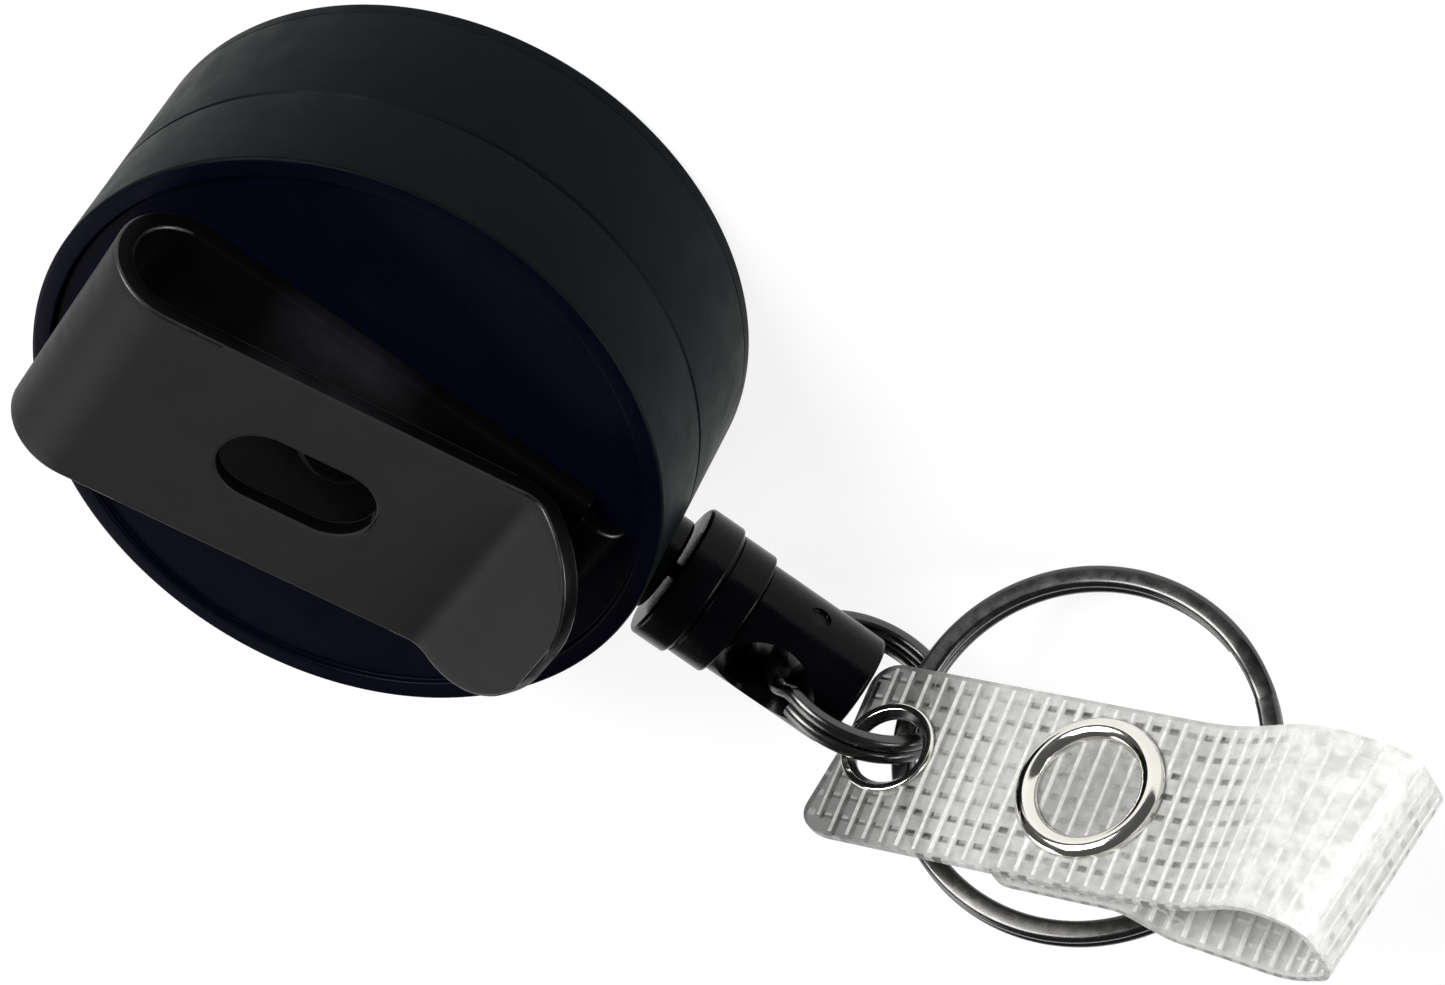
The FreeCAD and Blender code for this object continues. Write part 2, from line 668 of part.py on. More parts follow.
def spiral_spring():
    """A flat strip wound in half circles, with a tail in the post's slot."""
    inner = []
    outer = []
    radius = SPRING_START
    side = 1
    centre = 0.0
    for index in range(2 * SPRING_TURNS):
        for edges, reach in ((inner, radius), (outer, radius + SPRING_STRIP)):
            first = Vector(centre + side * reach, 0, 0)
            middle = Vector(centre, side * reach, 0)
            last = Vector(centre - side * reach, 0, 0)
            edges.append(Part.Arc(first, middle, last).toShape())
        centre += side * SPRING_PITCH / 2
        radius += SPRING_PITCH / 2
        side = -side
    caps = [
        Part.makeLine(Vector(SPRING_START, 0, 0), Vector(SPRING_START + SPRING_STRIP, 0, 0)),
        Part.makeLine(inner[-1].Vertexes[-1].Point, outer[-1].Vertexes[-1].Point),
    ]
    face = Part.Face(Part.Wire(Part.__sortEdges__(inner + outer + caps)))
    coil = face.extrude(Vector(0, 0, SPRING_HEIGHT))
    tail_length = SPRING_START + SPRING_STRIP - SPRING_TAIL_REACH
    tail = Part.makeBox(tail_length, SPRING_STRIP, SPRING_HEIGHT, Vector(SPRING_TAIL_REACH, 0, 0))
    spring = coil.fuse(tail)
    spring.translate(Vector(0, 0, SPRING_LOW))
    return spring.Solids[0]


# ---------------------------------------------------------------- cord

def cord_pack():
    """The turns of cord on the hub, as the solid that they fill."""
    inner = SPOOL_HUB_RADIUS + SEAT_GAP
    low = GROOVE_LOW + PACK_SIDE_GAP
    high = GROOVE_HIGH - PACK_SIDE_GAP
    profile = [
        (inner, SEAM_HEIGHT),
        (inner, low, PACK_CORNER),
        (PACK_RADIUS, low, PACK_CORNER),
        (PACK_RADIUS, high, PACK_CORNER),
        (inner, high, PACK_CORNER),
    ]
    return turned(profile)


def cord_route():
    """From the outermost turn, round the mouth of the exit bush, to the knot in the cap."""
    bend = Vector(BUSH_INNER + BUSH_MOUTH / 2, 0, SEAM_HEIGHT)
    wrap = PACK_RADIUS + CORD_TOUCH + CORD_DIAMETER / 2
    angle = math.acos(wrap / bend.x)
    start = Vector(wrap * math.cos(angle), wrap * math.sin(angle), SEAM_HEIGHT)
    end = Vector(KNOT_FACE - SEAT_GAP, 0, SEAM_HEIGHT)
    return [start, bend, end]


def cord_lead():
    points = cord_route()
    path = Part.Wire(rounded_edges(points, [0, CORD_BEND_RADIUS, 0]))
    section = Part.Wire(Part.makeCircle(CORD_DIAMETER / 2, points[0], unit(points[0], points[1])))
    print("cord bend radius", CORD_BEND_RADIUS, "lead length", round(path.Length, 2))
    return path.makePipeShell([section], True, False)


def cord_knot():
    """The knot that keeps the cord in the cap."""
    middle = KNOT_FACE + math.sqrt(KNOT_RADIUS ** 2 - CORD_DIAMETER ** 2 / 4)
    ball = Part.makeSphere(KNOT_RADIUS, Vector(middle, 0, SEAM_HEIGHT))
    keep = cylinder(KNOT_RADIUS * 2, KNOT_FACE, middle + KNOT_RADIUS * 2, CORD_LINE, X_AXIS)
    return ball.common(keep)


# ---------------------------------------------------------------- end fitting

def end_cap():
    """Collar and neck in one piece, hollow for the knot and the sleeve's stub."""
    cavity = COLLAR_START + CAP_WALL
    cord_hole = CORD_DIAMETER / 2 + CORD_HOLE_GAP
    profile = [
        (cord_hole, COLLAR_START),
        (COLLAR_RADIUS, COLLAR_START, COLLAR_ROUND),
        (COLLAR_RADIUS, NECK_START, COLLAR_EDGE),
        (NECK_RADIUS, NECK_START),
        (NECK_RADIUS, SLEEVE_START, NECK_EDGE),
        (STUB_RADIUS + SWIVEL_GAP, SLEEVE_START),
        (STUB_RADIUS + SWIVEL_GAP, CAP_LIP_FACE),
        (STUB_FLANGE_RADIUS + SWIVEL_GAP, CAP_LIP_FACE),
        (STUB_FLANGE_RADIUS + SWIVEL_GAP, cavity),
        (cord_hole, cavity),
    ]
    return turned(profile, X_AXIS, CORD_LINE)


def end_sleeve():
    """The turning sleeve, with a flared cross hole for the small ring."""
    flange_top = CAP_LIP_FACE - SWIVEL_GAP
    face = SLEEVE_START + SWIVEL_GAP / 2
    profile = [
        (0, flange_top - STUB_FLANGE),
        (STUB_FLANGE_RADIUS, flange_top - STUB_FLANGE, STUB_FLANGE_ROUND),
        (STUB_FLANGE_RADIUS, flange_top),
        (STUB_RADIUS, flange_top),
        (STUB_RADIUS, face),
        (SLEEVE_RADIUS, face, NECK_EDGE),
        (SLEEVE_RADIUS, SLEEVE_END, SLEEVE_ROUND),
        (0, SLEEVE_END),
    ]
    sleeve = turned(profile, X_AXIS, CORD_LINE)
    dimple = cylinder(DIMPLE_RADIUS, SLEEVE_RADIUS - DIMPLE_DEPTH, SLEEVE_RADIUS + CUT_PAST,
                      Vector(CROSS_HOLE_X + DIMPLE_SHIFT, 0, SEAM_HEIGHT), Y_AXIS)
    return sleeve.cut([cross_hole(), dimple])


def cross_hole():
    """The hole across the sleeve, which widens in a curve to both sides."""
    reach = SLEEVE_RADIUS + CROSS_HOLE_PAST
    wide = CROSS_HOLE_RADIUS + CROSS_HOLE_FLARE - math.sqrt(CROSS_HOLE_FLARE ** 2 - reach ** 2)
    low = Vector(wide, 0, -reach)
    high = Vector(wide, 0, reach)
    edges = [
        Part.makeLine(Vector(0, 0, -reach), low),
        Part.Arc(low, Vector(CROSS_HOLE_RADIUS, 0, 0), high).toShape(),
        Part.makeLine(high, Vector(0, 0, reach)),
        Part.makeLine(Vector(0, 0, reach), Vector(0, 0, -reach)),
    ]
    hole = Part.Face(Part.Wire(edges)).revolve(ORIGIN, Z_AXIS, 360)
    hole.translate(Vector(CROSS_HOLE_X, 0, SEAM_HEIGHT))
    return hole


# ---------------------------------------------------------------- rings

def small_ring_frame():
    """The small ring's own frame: Z is its axis, and X points from the cross hole to its middle."""
    turn = Rotation(Z_AXIS, SMALL_RING_TURN).multiply(Rotation(X_AXIS, 90 - SMALL_RING_TILT))
    hinge = Vector(CROSS_HOLE_X, 0, SEAM_HEIGHT + SMALL_RING_LIFT)
    return Placement(hinge + turn.multVec(X_AXIS) * SMALL_RING_RADIUS, turn)


def large_ring_frame():
    """The large ring's own frame: Z is its axis, and X points from where it hangs to its middle."""
    turn = turned_by(LARGE_RING_YAW, LARGE_RING_PITCH, LARGE_RING_ROLL)
    reach = SMALL_RING_RADIUS - SMALL_WIRE / 2 - LARGE_RING_SLACK - LARGE_WIRE / 2
    hang = round_about(LARGE_RING_ANGLE, reach) + Z_AXIS * LARGE_RING_SHIFT
    middle = hang + turn.multVec(X_AXIS) * LARGE_RING_RADIUS
    return small_ring_frame().multiply(Placement(middle, turn))


def small_ring():
    """Through the cross hole of the sleeve and the eyelet of the strap."""
    ring = split_ring(SMALL_RING_RADIUS, SMALL_WIRE, SMALL_COIL)
    ring.Placement = small_ring_frame().multiply(Placement(ORIGIN, Rotation(Z_AXIS, SMALL_RING_SPIN)))
    return ring


def large_ring():
    """Hangs in the small ring and takes the keys."""
    ring = split_ring(LARGE_RING_RADIUS, LARGE_WIRE, LARGE_COIL)
    ring.Placement = large_ring_frame().multiply(Placement(ORIGIN, Rotation(Z_AXIS, LARGE_RING_SPIN)))
    return ring


# ---------------------------------------------------------------- strap

def strap_frame():
    """The strap's own frame, with its origin in the eyelet, which hangs on the small ring."""
    hang = round_about(EYELET_ANGLE, SMALL_RING_RADIUS + EYELET_OUTWARD)
    return Placement(small_ring_frame().multVec(hang), turned_by(STRAP_YAW, STRAP_PITCH, STRAP_ROLL))


def placed(shape):
    shape.Placement = strap_frame().multiply(shape.Placement)
    return shape


def strap_spot(past_snap, height):
    """A point of the strap's XZ, so far past the snap and so high over the flat layer."""
    return Vector(SNAP_DISTANCE + past_snap, 0, height)


def strap_halves():
    """The strap's middle line in its own XZ, in two halves that meet in the middle of the fold."""
    under = -STRAP_LAYER_GAP - STRAP_THICKNESS
    fold_middle = strap_spot(FOLD_REACH, (FOLD_TOP_RISE - FOLD_LOW_DROP) / 2)
    upper = [
        (Vector(-STRAP_MARGIN, 0, 0), 0),
        (strap_spot(LOOP_START, 0), LOOP_START_BEND),
        (strap_spot(LOOP_CREST, LOOP_CREST_RISE), LOOP_CREST_BEND),
        (strap_spot(FOLD_REACH, FOLD_TOP_RISE), FOLD_TOP_BEND),
        (fold_middle, 0),
    ]
    lower = [
        (fold_middle, 0),
        (strap_spot(FOLD_REACH, -FOLD_LOW_DROP), FOLD_LOW_BEND),
        (strap_spot(LOOP_KEEL, -LOOP_KEEL_DROP), LOOP_KEEL_BEND),
        (strap_spot(LOOP_RETURN, -LOOP_RETURN_DROP), LOOP_RETURN_BEND),
        (strap_spot(LOOP_CLOSE, under), LOOP_CLOSE_BEND),
        (strap_spot(-STRAP_FLAP_PAST, under), 0),
    ]
    return upper, lower


def strap_upper():
    """The flat layer with the eyelet, and the loop down to the middle of the fold."""
    corners = strap_halves()[0]
    strip = bent_strip(corners, STRAP_THICKNESS, STRAP_EDGE_LOW, STRAP_EDGE_HIGH)
    strip = round_strip_end(strip, corners[0][0], STRAP_END_CORNER)
    eyelet_hole = cylinder(EYELET_HOLE_RADIUS + EYELET_ROLL + SEAT_GAP, -CUT_PAST, CUT_PAST)
    snap_hole = cylinder(SNAP_BARREL_RADIUS + SEAT_GAP, -CUT_PAST, CUT_PAST, strap_spot(0, 0))
    return placed(strip.cut([eyelet_hole, snap_hole]))


def strap_lower():
    """The loop from the middle of the fold back to the free end, which carries the stud."""
    corners = strap_halves()[1]
    strip = bent_strip(corners, STRAP_THICKNESS, STRAP_EDGE_LOW, STRAP_EDGE_HIGH)
    end = corners[-1][0]
    strip = round_strip_end(strip, end, STRAP_END_CORNER)
    stud_hole = cylinder(SNAP_STUD_RADIUS + SEAT_GAP, end.z - CUT_PAST, end.z + CUT_PAST, strap_spot(0, 0))
    return placed(strip.cut(stud_hole))


def strap_eyelet():
    """The rolled metal eye, with a rim on both sides of the strap."""
    half = STRAP_THICKNESS / 2 + SEAT_GAP
    inner = EYELET_HOLE_RADIUS
    barrel = inner + EYELET_ROLL
    top = half + EYELET_ROLL
    profile = [
        (inner, 0),
        (inner, -top, EYELET_ROLL),
        (EYELET_RADIUS, -top, EYELET_EDGE),
        (EYELET_RADIUS, -half),
        (barrel, -half),
        (barrel, half),
        (EYELET_RADIUS, half),
        (EYELET_RADIUS, top, EYELET_EDGE),
        (inner, top, EYELET_ROLL),
    ]
    return placed(turned(profile))


def snap_cap():
    """The domed ring on the outside of the strap."""
    low = STRAP_THICKNESS / 2 + SEAT_GAP
    top = low + SNAP_RING_HEIGHT
    profile = [
        (SNAP_HOLE_RADIUS, (low + top) / 2),
        (SNAP_HOLE_RADIUS, low),
        (SNAP_RADIUS, low, SNAP_EDGE),
        (SNAP_RADIUS, top, SNAP_RING_ROUND),
        (SNAP_HOLE_RADIUS, top, SNAP_RING_EDGE),
    ]
    return placed(turned(profile, Z_AXIS, strap_spot(0, 0)))


def snap_socket():
    """The socket under the flat layer, held by the barrel that passes the strap."""
    half = STRAP_THICKNESS / 2 + SEAT_GAP
    inner = SNAP_BARREL_RADIUS - SNAP_BARREL_WALL
    outer = SNAP_RADIUS - SNAP_SOCKET_INSET
    profile = [
        (inner, half + SNAP_BARREL_RISE),
        (inner, -half - SOCKET_DEPTH),
        (outer, -half - SOCKET_DEPTH, SNAP_EDGE),
        (outer, -half, SNAP_EDGE),
        (SNAP_BARREL_RADIUS, -half),
        (SNAP_BARREL_RADIUS, half + SNAP_BARREL_RISE),
    ]
    return placed(turned(profile, Z_AXIS, strap_spot(0, 0)))


def snap_stud():
    """The stud on the flap, which enters the socket."""
    middle = -STRAP_LAYER_GAP - STRAP_THICKNESS
    high = middle + STRAP_THICKNESS / 2 + SEAT_GAP
    low = middle - STRAP_THICKNESS / 2 - SEAT_GAP
    base = high + SOCKET_DEPTH
    profile = [
        (0, low - SNAP_PLATE_THICKNESS),
        (SNAP_PLATE_RADIUS, low - SNAP_PLATE_THICKNESS, SNAP_EDGE),
        (SNAP_PLATE_RADIUS, low),
        (SNAP_STUD_RADIUS, low),
        (SNAP_STUD_RADIUS, high),
        (SNAP_PLATE_RADIUS, high),
        (SNAP_PLATE_RADIUS, base, SNAP_EDGE),
        (SNAP_STUD_RADIUS, base),
        (SNAP_STUD_RADIUS, base + SNAP_STUD_RISE, SNAP_STUD_ROUND),
        (0, base + SNAP_STUD_RISE),
    ]
    return placed(turned(profile, Z_AXIS, strap_spot(0, 0)))


# ---------------------------------------------------------------- the assembly

NODES = {
    "front_shell": front_shell,
    "rear_shell": rear_shell,
    "centre_post": centre_post,
    "lower_thrust_washer": lambda: thrust_washer(FRONT_WALL + POST_BOSS_HEIGHT + SEAT_GAP),
    "upper_thrust_washer": lambda: thrust_washer(CAVITY_TOP - WASHER_THICKNESS - SEAT_GAP),
    "exit_bush": exit_bush,
    "belt_clip": belt_clip,
    "clip_rivet": clip_rivet,
    "spool": spool,
    "spring_cover": spring_cover,
    "spiral_spring": spiral_spring,
    "cord_pack": cord_pack,
    "cord_lead": cord_lead,
    "cord_knot": cord_knot,
    "end_cap": end_cap,
    "end_sleeve": end_sleeve,
    "small_ring": small_ring,
    "large_ring": large_ring,
    "strap_upper": strap_upper,
    "strap_lower": strap_lower,
    "strap_eyelet": strap_eyelet,
    "snap_cap": snap_cap,
    "snap_socket": snap_socket,
    "snap_stud": snap_stud,
}

os.makedirs("parts", exist_ok=True)
for name, make in NODES.items():
    shape = make()
    if not shape.isValid() or len(shape.Solids) != 1:
        raise ValueError(name + " is not one valid solid: " + str(len(shape.Solids)))
    shape.exportStep("parts/" + name + ".step")
    print(name, "volume", round(shape.Volume, 2), "faces", len(shape.Faces))
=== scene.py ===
import math
import random

import bmesh
import bpy
from mathutils import Matrix, Vector


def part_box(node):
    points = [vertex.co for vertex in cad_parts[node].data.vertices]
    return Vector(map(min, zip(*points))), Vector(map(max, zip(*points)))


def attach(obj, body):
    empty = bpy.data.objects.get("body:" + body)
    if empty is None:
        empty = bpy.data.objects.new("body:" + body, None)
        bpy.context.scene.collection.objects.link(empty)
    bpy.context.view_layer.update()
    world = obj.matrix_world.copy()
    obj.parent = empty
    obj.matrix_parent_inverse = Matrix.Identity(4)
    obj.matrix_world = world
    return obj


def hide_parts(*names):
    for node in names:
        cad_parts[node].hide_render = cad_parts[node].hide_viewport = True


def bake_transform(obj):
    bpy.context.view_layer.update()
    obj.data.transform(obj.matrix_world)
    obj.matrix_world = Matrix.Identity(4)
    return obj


# Retractable badge reel, dressed for the camera.  Lengths below are in millimetres and
# are turned to metres where a mesh is made.  The frame is the part's: the case lies on
# its front face at z = 0, +X is the way the cord leaves and +Z runs to the belt clip.

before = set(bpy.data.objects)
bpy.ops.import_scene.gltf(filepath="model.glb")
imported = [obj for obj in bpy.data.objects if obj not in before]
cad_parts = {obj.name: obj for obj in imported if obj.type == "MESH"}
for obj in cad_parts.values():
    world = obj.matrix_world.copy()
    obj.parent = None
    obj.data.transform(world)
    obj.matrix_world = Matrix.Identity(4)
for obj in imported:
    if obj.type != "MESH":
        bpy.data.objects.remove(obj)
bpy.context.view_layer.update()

MM = 0.001
X_AXIS = Vector((1, 0, 0))
Y_AXIS = Vector((0, 1, 0))
Z_AXIS = Vector((0, 0, 1))

# ---- sizes


def node_span(node, axis):
    """Lowest and highest value of a CAD node along x (0), y (1) or z (2), in millimetres."""
    low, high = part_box(node)
    return low[axis] / MM, high[axis] / MM


CASE_RADIUS = node_span("front_shell", 1)[1]
CASE_HEIGHT = node_span("rear_shell", 2)[1]
CORD_HEIGHT = sum(node_span("end_sleeve", 2)) / 2
CASE_BORE = CASE_RADIUS - 1.6
WALL = 1.5
INNER_ROUND = 1.0
FRONT_ROUND = 0.2  # of the front edge, which is fuller here than on the solid
FRONT_LINE = 1.05  # height of the fine line near that edge
LINE_DEPTH = 0.05
LINE_ROUND = 0.03
RIM_WIDTH = 1.3
RIM_ROUND = 0.28
RIM_INNER_ROUND = 0.19
REAR_RECESS = 0.4
SEAM_GROOVE = 0.15
SEAM_ROUND = 0.04
SEAM_GAP = 0.05  # between the two shells
REAR_FACE = CASE_HEIGHT - REAR_RECESS
CASE_STEPS = 240

BUSH_RADIUS = 3.1
BUSH_OUTER = node_span("exit_bush", 0)[1]
BUSH_BORE = 0.8
BUSH_DEPTH = 3.0

CORD_RADIUS = 0.5
CORD_ROWS = 40
CORD_SIDES = 20
CORD_LINE = (0, 0, CORD_HEIGHT)  # a point of the cord's axis

COLLAR_START = node_span("end_cap", 0)[0]
SLEEVE_START = node_span("end_cap", 0)[1]
SLEEVE_END = node_span("end_sleeve", 0)[1]
COLLAR_LENGTH = 2.5
COLLAR_RADIUS = 4.5
NECK_RADIUS = 4.2
NECK_GROOVE = 0.18
NECK_GROOVE_SPAN = (-0.05, 0.15)  # from the end of the collar
SLEEVE_RADIUS = 3.78
SLEEVE_ROUND = 0.35
CAP_WALL = 0.8
STUB_RADIUS = 2.35
CROSS_HOLE_X = SLEEVE_START + 3.3
CROSS_HOLE_RADIUS = 1.65
CROSS_HOLE_FLARE = 5.0
DIMPLE_RADIUS = 0.7
DIMPLE_DEPTH = 0.3
DIMPLE_SHIFT = 0.6

SMALL_RING_RADIUS = 5.43
SMALL_WIRE = 1.0
SMALL_COIL = 0.95
SMALL_RING_TURN = 12.95
SMALL_RING_TILT = 6.5
SMALL_RING_LIFT = 0.3
SMALL_RING_SPIN = 150.0
LARGE_RING_RADIUS = 11.25
LARGE_WIRE = 1.34
LARGE_COIL = 0.8
LARGE_RING_ANGLE = -7.2  # where it hangs, in degrees round the small ring
LARGE_RING_SLACK = 0.765  # between the two wires, across the small ring
LARGE_RING_SHIFT = 0.09  # along the small ring's axis
LARGE_RING_YAW = 9.63  # its lie in the small ring's frame
LARGE_RING_PITCH = -19.61
LARGE_RING_ROLL = -140.1
LARGE_RING_SPIN = 54.5
COIL_GAP = 0.04
COIL_CROSSING = 22.0

CLIP_WIDTH = 15.7
CLIP_THICKNESS = 1.2
CLIP_BEND_REACH = 17.5
CLIP_BEND_RADIUS = 3.5
CLIP_LEG_RISE = 5.15
CLIP_LEG_SLOPE = 11.9
CLIP_TIP_START = 11.0
CLIP_TIP_LENGTH = 7.2
CLIP_TIP_ANGLE = 34.0  # a little steeper than on the solid
CLIP_TIP_BEND = 2.5
CLIP_TIP_CORNER = 6.8
CLIP_TAB_REACH = 16.0
CLIP_TAB_BEND = 1.0
CLIP_TAB_DEPTH = 2.6
CLIP_TAB_WIDTH = 13.0
CLIP_EDGE_ROUND = 0.16
CLIP_WORN_FROM = 9.0  # the edges are worn further than this from the axis, near both bends
CLIP_PAINTED_LIGHT = ((-3.0, 5.5), (4.5, 5.0))  # middle and reach of the painted light, a paler patch, along x and y
SLOT_LENGTH = 9.8
SLOT_WIDTH = 5.5
SLOT_CENTRE = -1.0
SLOT_RADIUS = SLOT_WIDTH / 2
SLOT_STRAIGHT = (SLOT_LENGTH - SLOT_WIDTH) / 2
CLIP_BASE_TOP = REAR_FACE + CLIP_THICKNESS
CLIP_BEND_END = CLIP_BEND_RADIUS - CLIP_BEND_REACH
CLIP_SHOULDER = CLIP_TAB_REACH - CLIP_TAB_BEND - CLIP_THICKNESS
CLIP_COLUMNS = 8
MERGE_GAP = 0.06  # under which two points of the strip's middle line become one
RIVET_SHANK = 1.2
RIVET_DEPTH = 2.0
RIVET_RADIUS = 2.6
RIVET_CROWN = 1.9

STRAP_THICKNESS = 0.5
STRAP_EDGE_LOW = -6.3
STRAP_EDGE_HIGH = 5.6
STRAP_MARGIN = 3.0
STRAP_END_CORNER = 1.8
STRAP_YAW = 44.6
STRAP_PITCH = 12.4
STRAP_ROLL = -68.2
EYELET_ANGLE = 55.3  # where the strap hangs, in degrees round the small ring
EYELET_OUTWARD = 0.07
EYELET_RADIUS = 3.0
EYELET_HOLE_RADIUS = 2.2
EYELET_RIM_INSIDE = 2.55  # where the bright rim ends and the dark funnel, painted shade in the hole, starts
SNAP_DISTANCE = 13.8
SNAP_RADIUS = 4.65
SNAP_HOLE_RADIUS = 3.2
SNAP_RING_HEIGHT = 0.75
SNAP_FOOT = 0.12
SOCKET_BORE = 1.85
SOCKET_NECK = 2.2
STUD_FLANGE = 2.9
STUD_STEM = 1.7
STRAP_FACE = STRAP_THICKNESS / 2 + 0.02  # where metal sits on the strap, from its middle
LAYER_GAP = 1.1
UNDER_LAYER = -LAYER_GAP - STRAP_THICKNESS
SNAP_DEPTH = LAYER_GAP / 2 - 0.12
FLAP_END = 8.3
FOLD_REACH = 17.9  # from the snap to the middle line of the fold
FOLD_END = SNAP_DISTANCE + FOLD_REACH
FOLD_SKEW = 0.235  # how far the loop leans over, for each millimetre across the strap
FOLD_SHIFT = -0.2
FOLD_LEAN_START = 7.0  # past the snap, where the lean starts
STRAP_END_SLANT = 1.1  # how much longer the strap's low edge is at the eyelet end
STRAP_SLANT_START = 0.3  # place across the strap where its end starts to slant
THREAD_PITCH = 1.16  # between the threads that run across the strap
THREAD_PHASE = 0.24  # where the first of them lies, as a share of the pitch
THREAD_ROW = 1.37  # between the threads that run along it
DASH_PHASE = 0.551  # where the rows of clear dashes lie, as a share of that
THREAD_WIDTH = 0.31
THREAD_HEIGHT = 0.12
THREAD_DEPTH = 0.22  # from the middle of the vinyl to the threads near its faces
CLEAR_SHADED_END = (2.5, 9.0)  # lengths along the strap between which its clear end, darkened with painted shade, turns frosted
MILKY_AND_LIT_START = (23.0, 30.0)  # where it turns milky, partly painted light at the fold, and below where it clears again
MILKY_AND_LIT_END = (37.0, 42.0)

# ---- outlines


def corner_points(before, corner, after, radius, step=10.0):
    """Points of the tangent arc that rounds a 2D corner, a step of so many degrees apart."""
    back = (before - corner).normalized()
    ahead = (after - corner).normalized()
    cosine = max(-1.0, min(1.0, back.dot(ahead)))
    half = math.acos(cosine) / 2
    turn = math.pi - 2 * half
    if turn < 1e-4:
        return [corner.copy()]
    reach = radius / math.tan(half)
    centre = corner + (back + ahead).normalized() * (radius / math.sin(half))
    first = corner + back * reach - centre
    side = 1 if back.cross(ahead) < 0 else -1
    count = max(2, round(math.degrees(turn) / step))
    points = []
    for index in range(count + 1):
        angle = side * turn * index / count
        cos, sin = math.cos(angle), math.sin(angle)
        spoke = Vector((first.x * cos - first.y * sin, first.x * sin + first.y * cos))
        points.append(centre + spoke)
    return points


def outline(rows, closed=True, step=10.0):
    """A polyline from (x, y, corner radius) rows; the radius may be left out."""
    corners = [Vector(row[:2]) for row in rows]
    radii = [row[2] if len(row) > 2 else 0 for row in rows]
    points = []
    for index, corner in enumerate(corners):
        at_end = not closed and index in (0, len(corners) - 1)
        if radii[index] <= 0 or at_end:
            points.append(corner.copy())
            continue
        before = corners[index - 1]
        after = corners[(index + 1) % len(corners)]
        points += corner_points(before, corner, after, radii[index], step)
    return points


def spaced(points, longest):
    """The same polyline with no run longer than a given length."""
    result = [points[0]]
    for last, point in zip(points, points[1:]):
        count = max(1, math.ceil((point - last).length / longest))
        result += [last.lerp(point, (index + 1) / count) for index in range(count)]
    return result


def running_lengths(points):
    """The length along a polyline at each of its points."""
    lengths = [0.0]
    for last, point in zip(points, points[1:]):
        lengths.append(lengths[-1] + (point - last).length)
    return lengths


def drawn_in(to_end, corner):
    """How far a rounded corner draws a strip's edge in, at a distance from its end."""
    short = max(0.0, corner - to_end)
    return corner - math.sqrt(max(0.0, corner ** 2 - short ** 2))


# ---- meshes


def bridge(lower, upper, closed=False):
    """Four-sided faces between two rows of vertex numbers."""
    pairs = list(zip(lower, upper))
    following = pairs[1:] + pairs[:1] if closed else pairs[1:]
    return [[low, next_low, next_high, high]
            for (low, high), (next_low, next_high) in zip(pairs, following)]


def rod_faces(first, stations, count):
    """Faces of a closed rod with count points at each station, numbered from first."""
    rings = [range(first + index * count, first + (index + 1) * count) for index in range(stations)]
    faces = [face for ring, upper in zip(rings, rings[1:]) for face in bridge(ring, upper, True)]
    return faces + [list(rings[0])[::-1], list(rings[-1])]


def new_object(name, data):
    obj = bpy.data.objects.new(name, data)
    bpy.context.scene.collection.objects.link(obj)
    return obj


def mesh_object(name, points, faces, sharp=35.0):
    """A new piece from points in millimetres, smooth but for edges over a given angle."""
    mesh = bpy.data.meshes.new(name)
    mesh.from_pydata([Vector(point) * MM for point in points], [], faces)
    mesh.validate()
    mesh.polygons.foreach_set("use_smooth", [True] * len(mesh.polygons))
    mesh.set_sharp_from_angle(angle=math.radians(sharp))
    obj = new_object(name, mesh)
    face_outward(obj)
    if name in PIECES:
        dress(obj, *PIECES[name][0])
    return obj


def lathe(name, rows, steps=96, axis=Z_AXIS, base=(0, 0, 0), sharp=35.0, closed=True,
          arc_step=10.0):
    """A turned body from (radius, height, corner radius) rows about an axis through base."""
    profile = outline(rows, closed, arc_step)
    turn = Z_AXIS.rotation_difference(axis).to_matrix()
    points, rings = [], []
    for radius, height in profile:
        count = 1 if radius < 1e-6 else steps
        rings.append([len(points) + index % count for index in range(steps)])
        for index in range(count):
            angle = 2 * math.pi * index / steps
            spot = Vector((radius * math.cos(angle), radius * math.sin(angle), height))
            points.append(turn @ spot + Vector(base))
    faces = []
    for lower, upper in zip(rings, rings[1:] + (rings[:1] if closed else [])):
        for loop in bridge(lower, upper, True):
            face = [vertex for place, vertex in enumerate(loop) if vertex not in loop[:place]]
            if len(face) > 2:
                faces.append(face)
    return mesh_object(name, points, faces, sharp)


def face_outward(obj):
    """Makes the normals of a closed mesh point out."""
    mesh = bmesh.new()
    mesh.from_mesh(obj.data)
    bmesh.ops.recalc_face_normals(mesh, faces=mesh.faces)
    mesh.to_mesh(obj.data)
    mesh.free()


def sweep(name, stations, section, sharp=35.0):
    """A closed rod: the 2D section at each station, which is (place, across, up)."""
    points = [place + across * x + up * y for place, across, up in stations for x, y in section]
    return mesh_object(name, points, rod_faces(0, len(stations), len(section)), sharp)


def rebuilt(obj):
    """Applies an object's modifiers to its mesh."""
    shown = obj.evaluated_get(bpy.context.evaluated_depsgraph_get())
    mesh = bpy.data.meshes.new_from_object(shown)
    obj.modifiers.clear()
    obj.data = mesh


def cut_away(obj, cutter, sharp=35.0):
    """Takes the cutter's shape out of an object and removes the cutter."""
    modifier = obj.modifiers.new("cut", "BOOLEAN")
    modifier.operation = "DIFFERENCE"
    modifier.solver = "EXACT"
    modifier.object = cutter
    rebuilt(obj)
    bpy.data.objects.remove(cutter)
    obj.data.set_sharp_from_angle(angle=math.radians(sharp))


# ---- materials


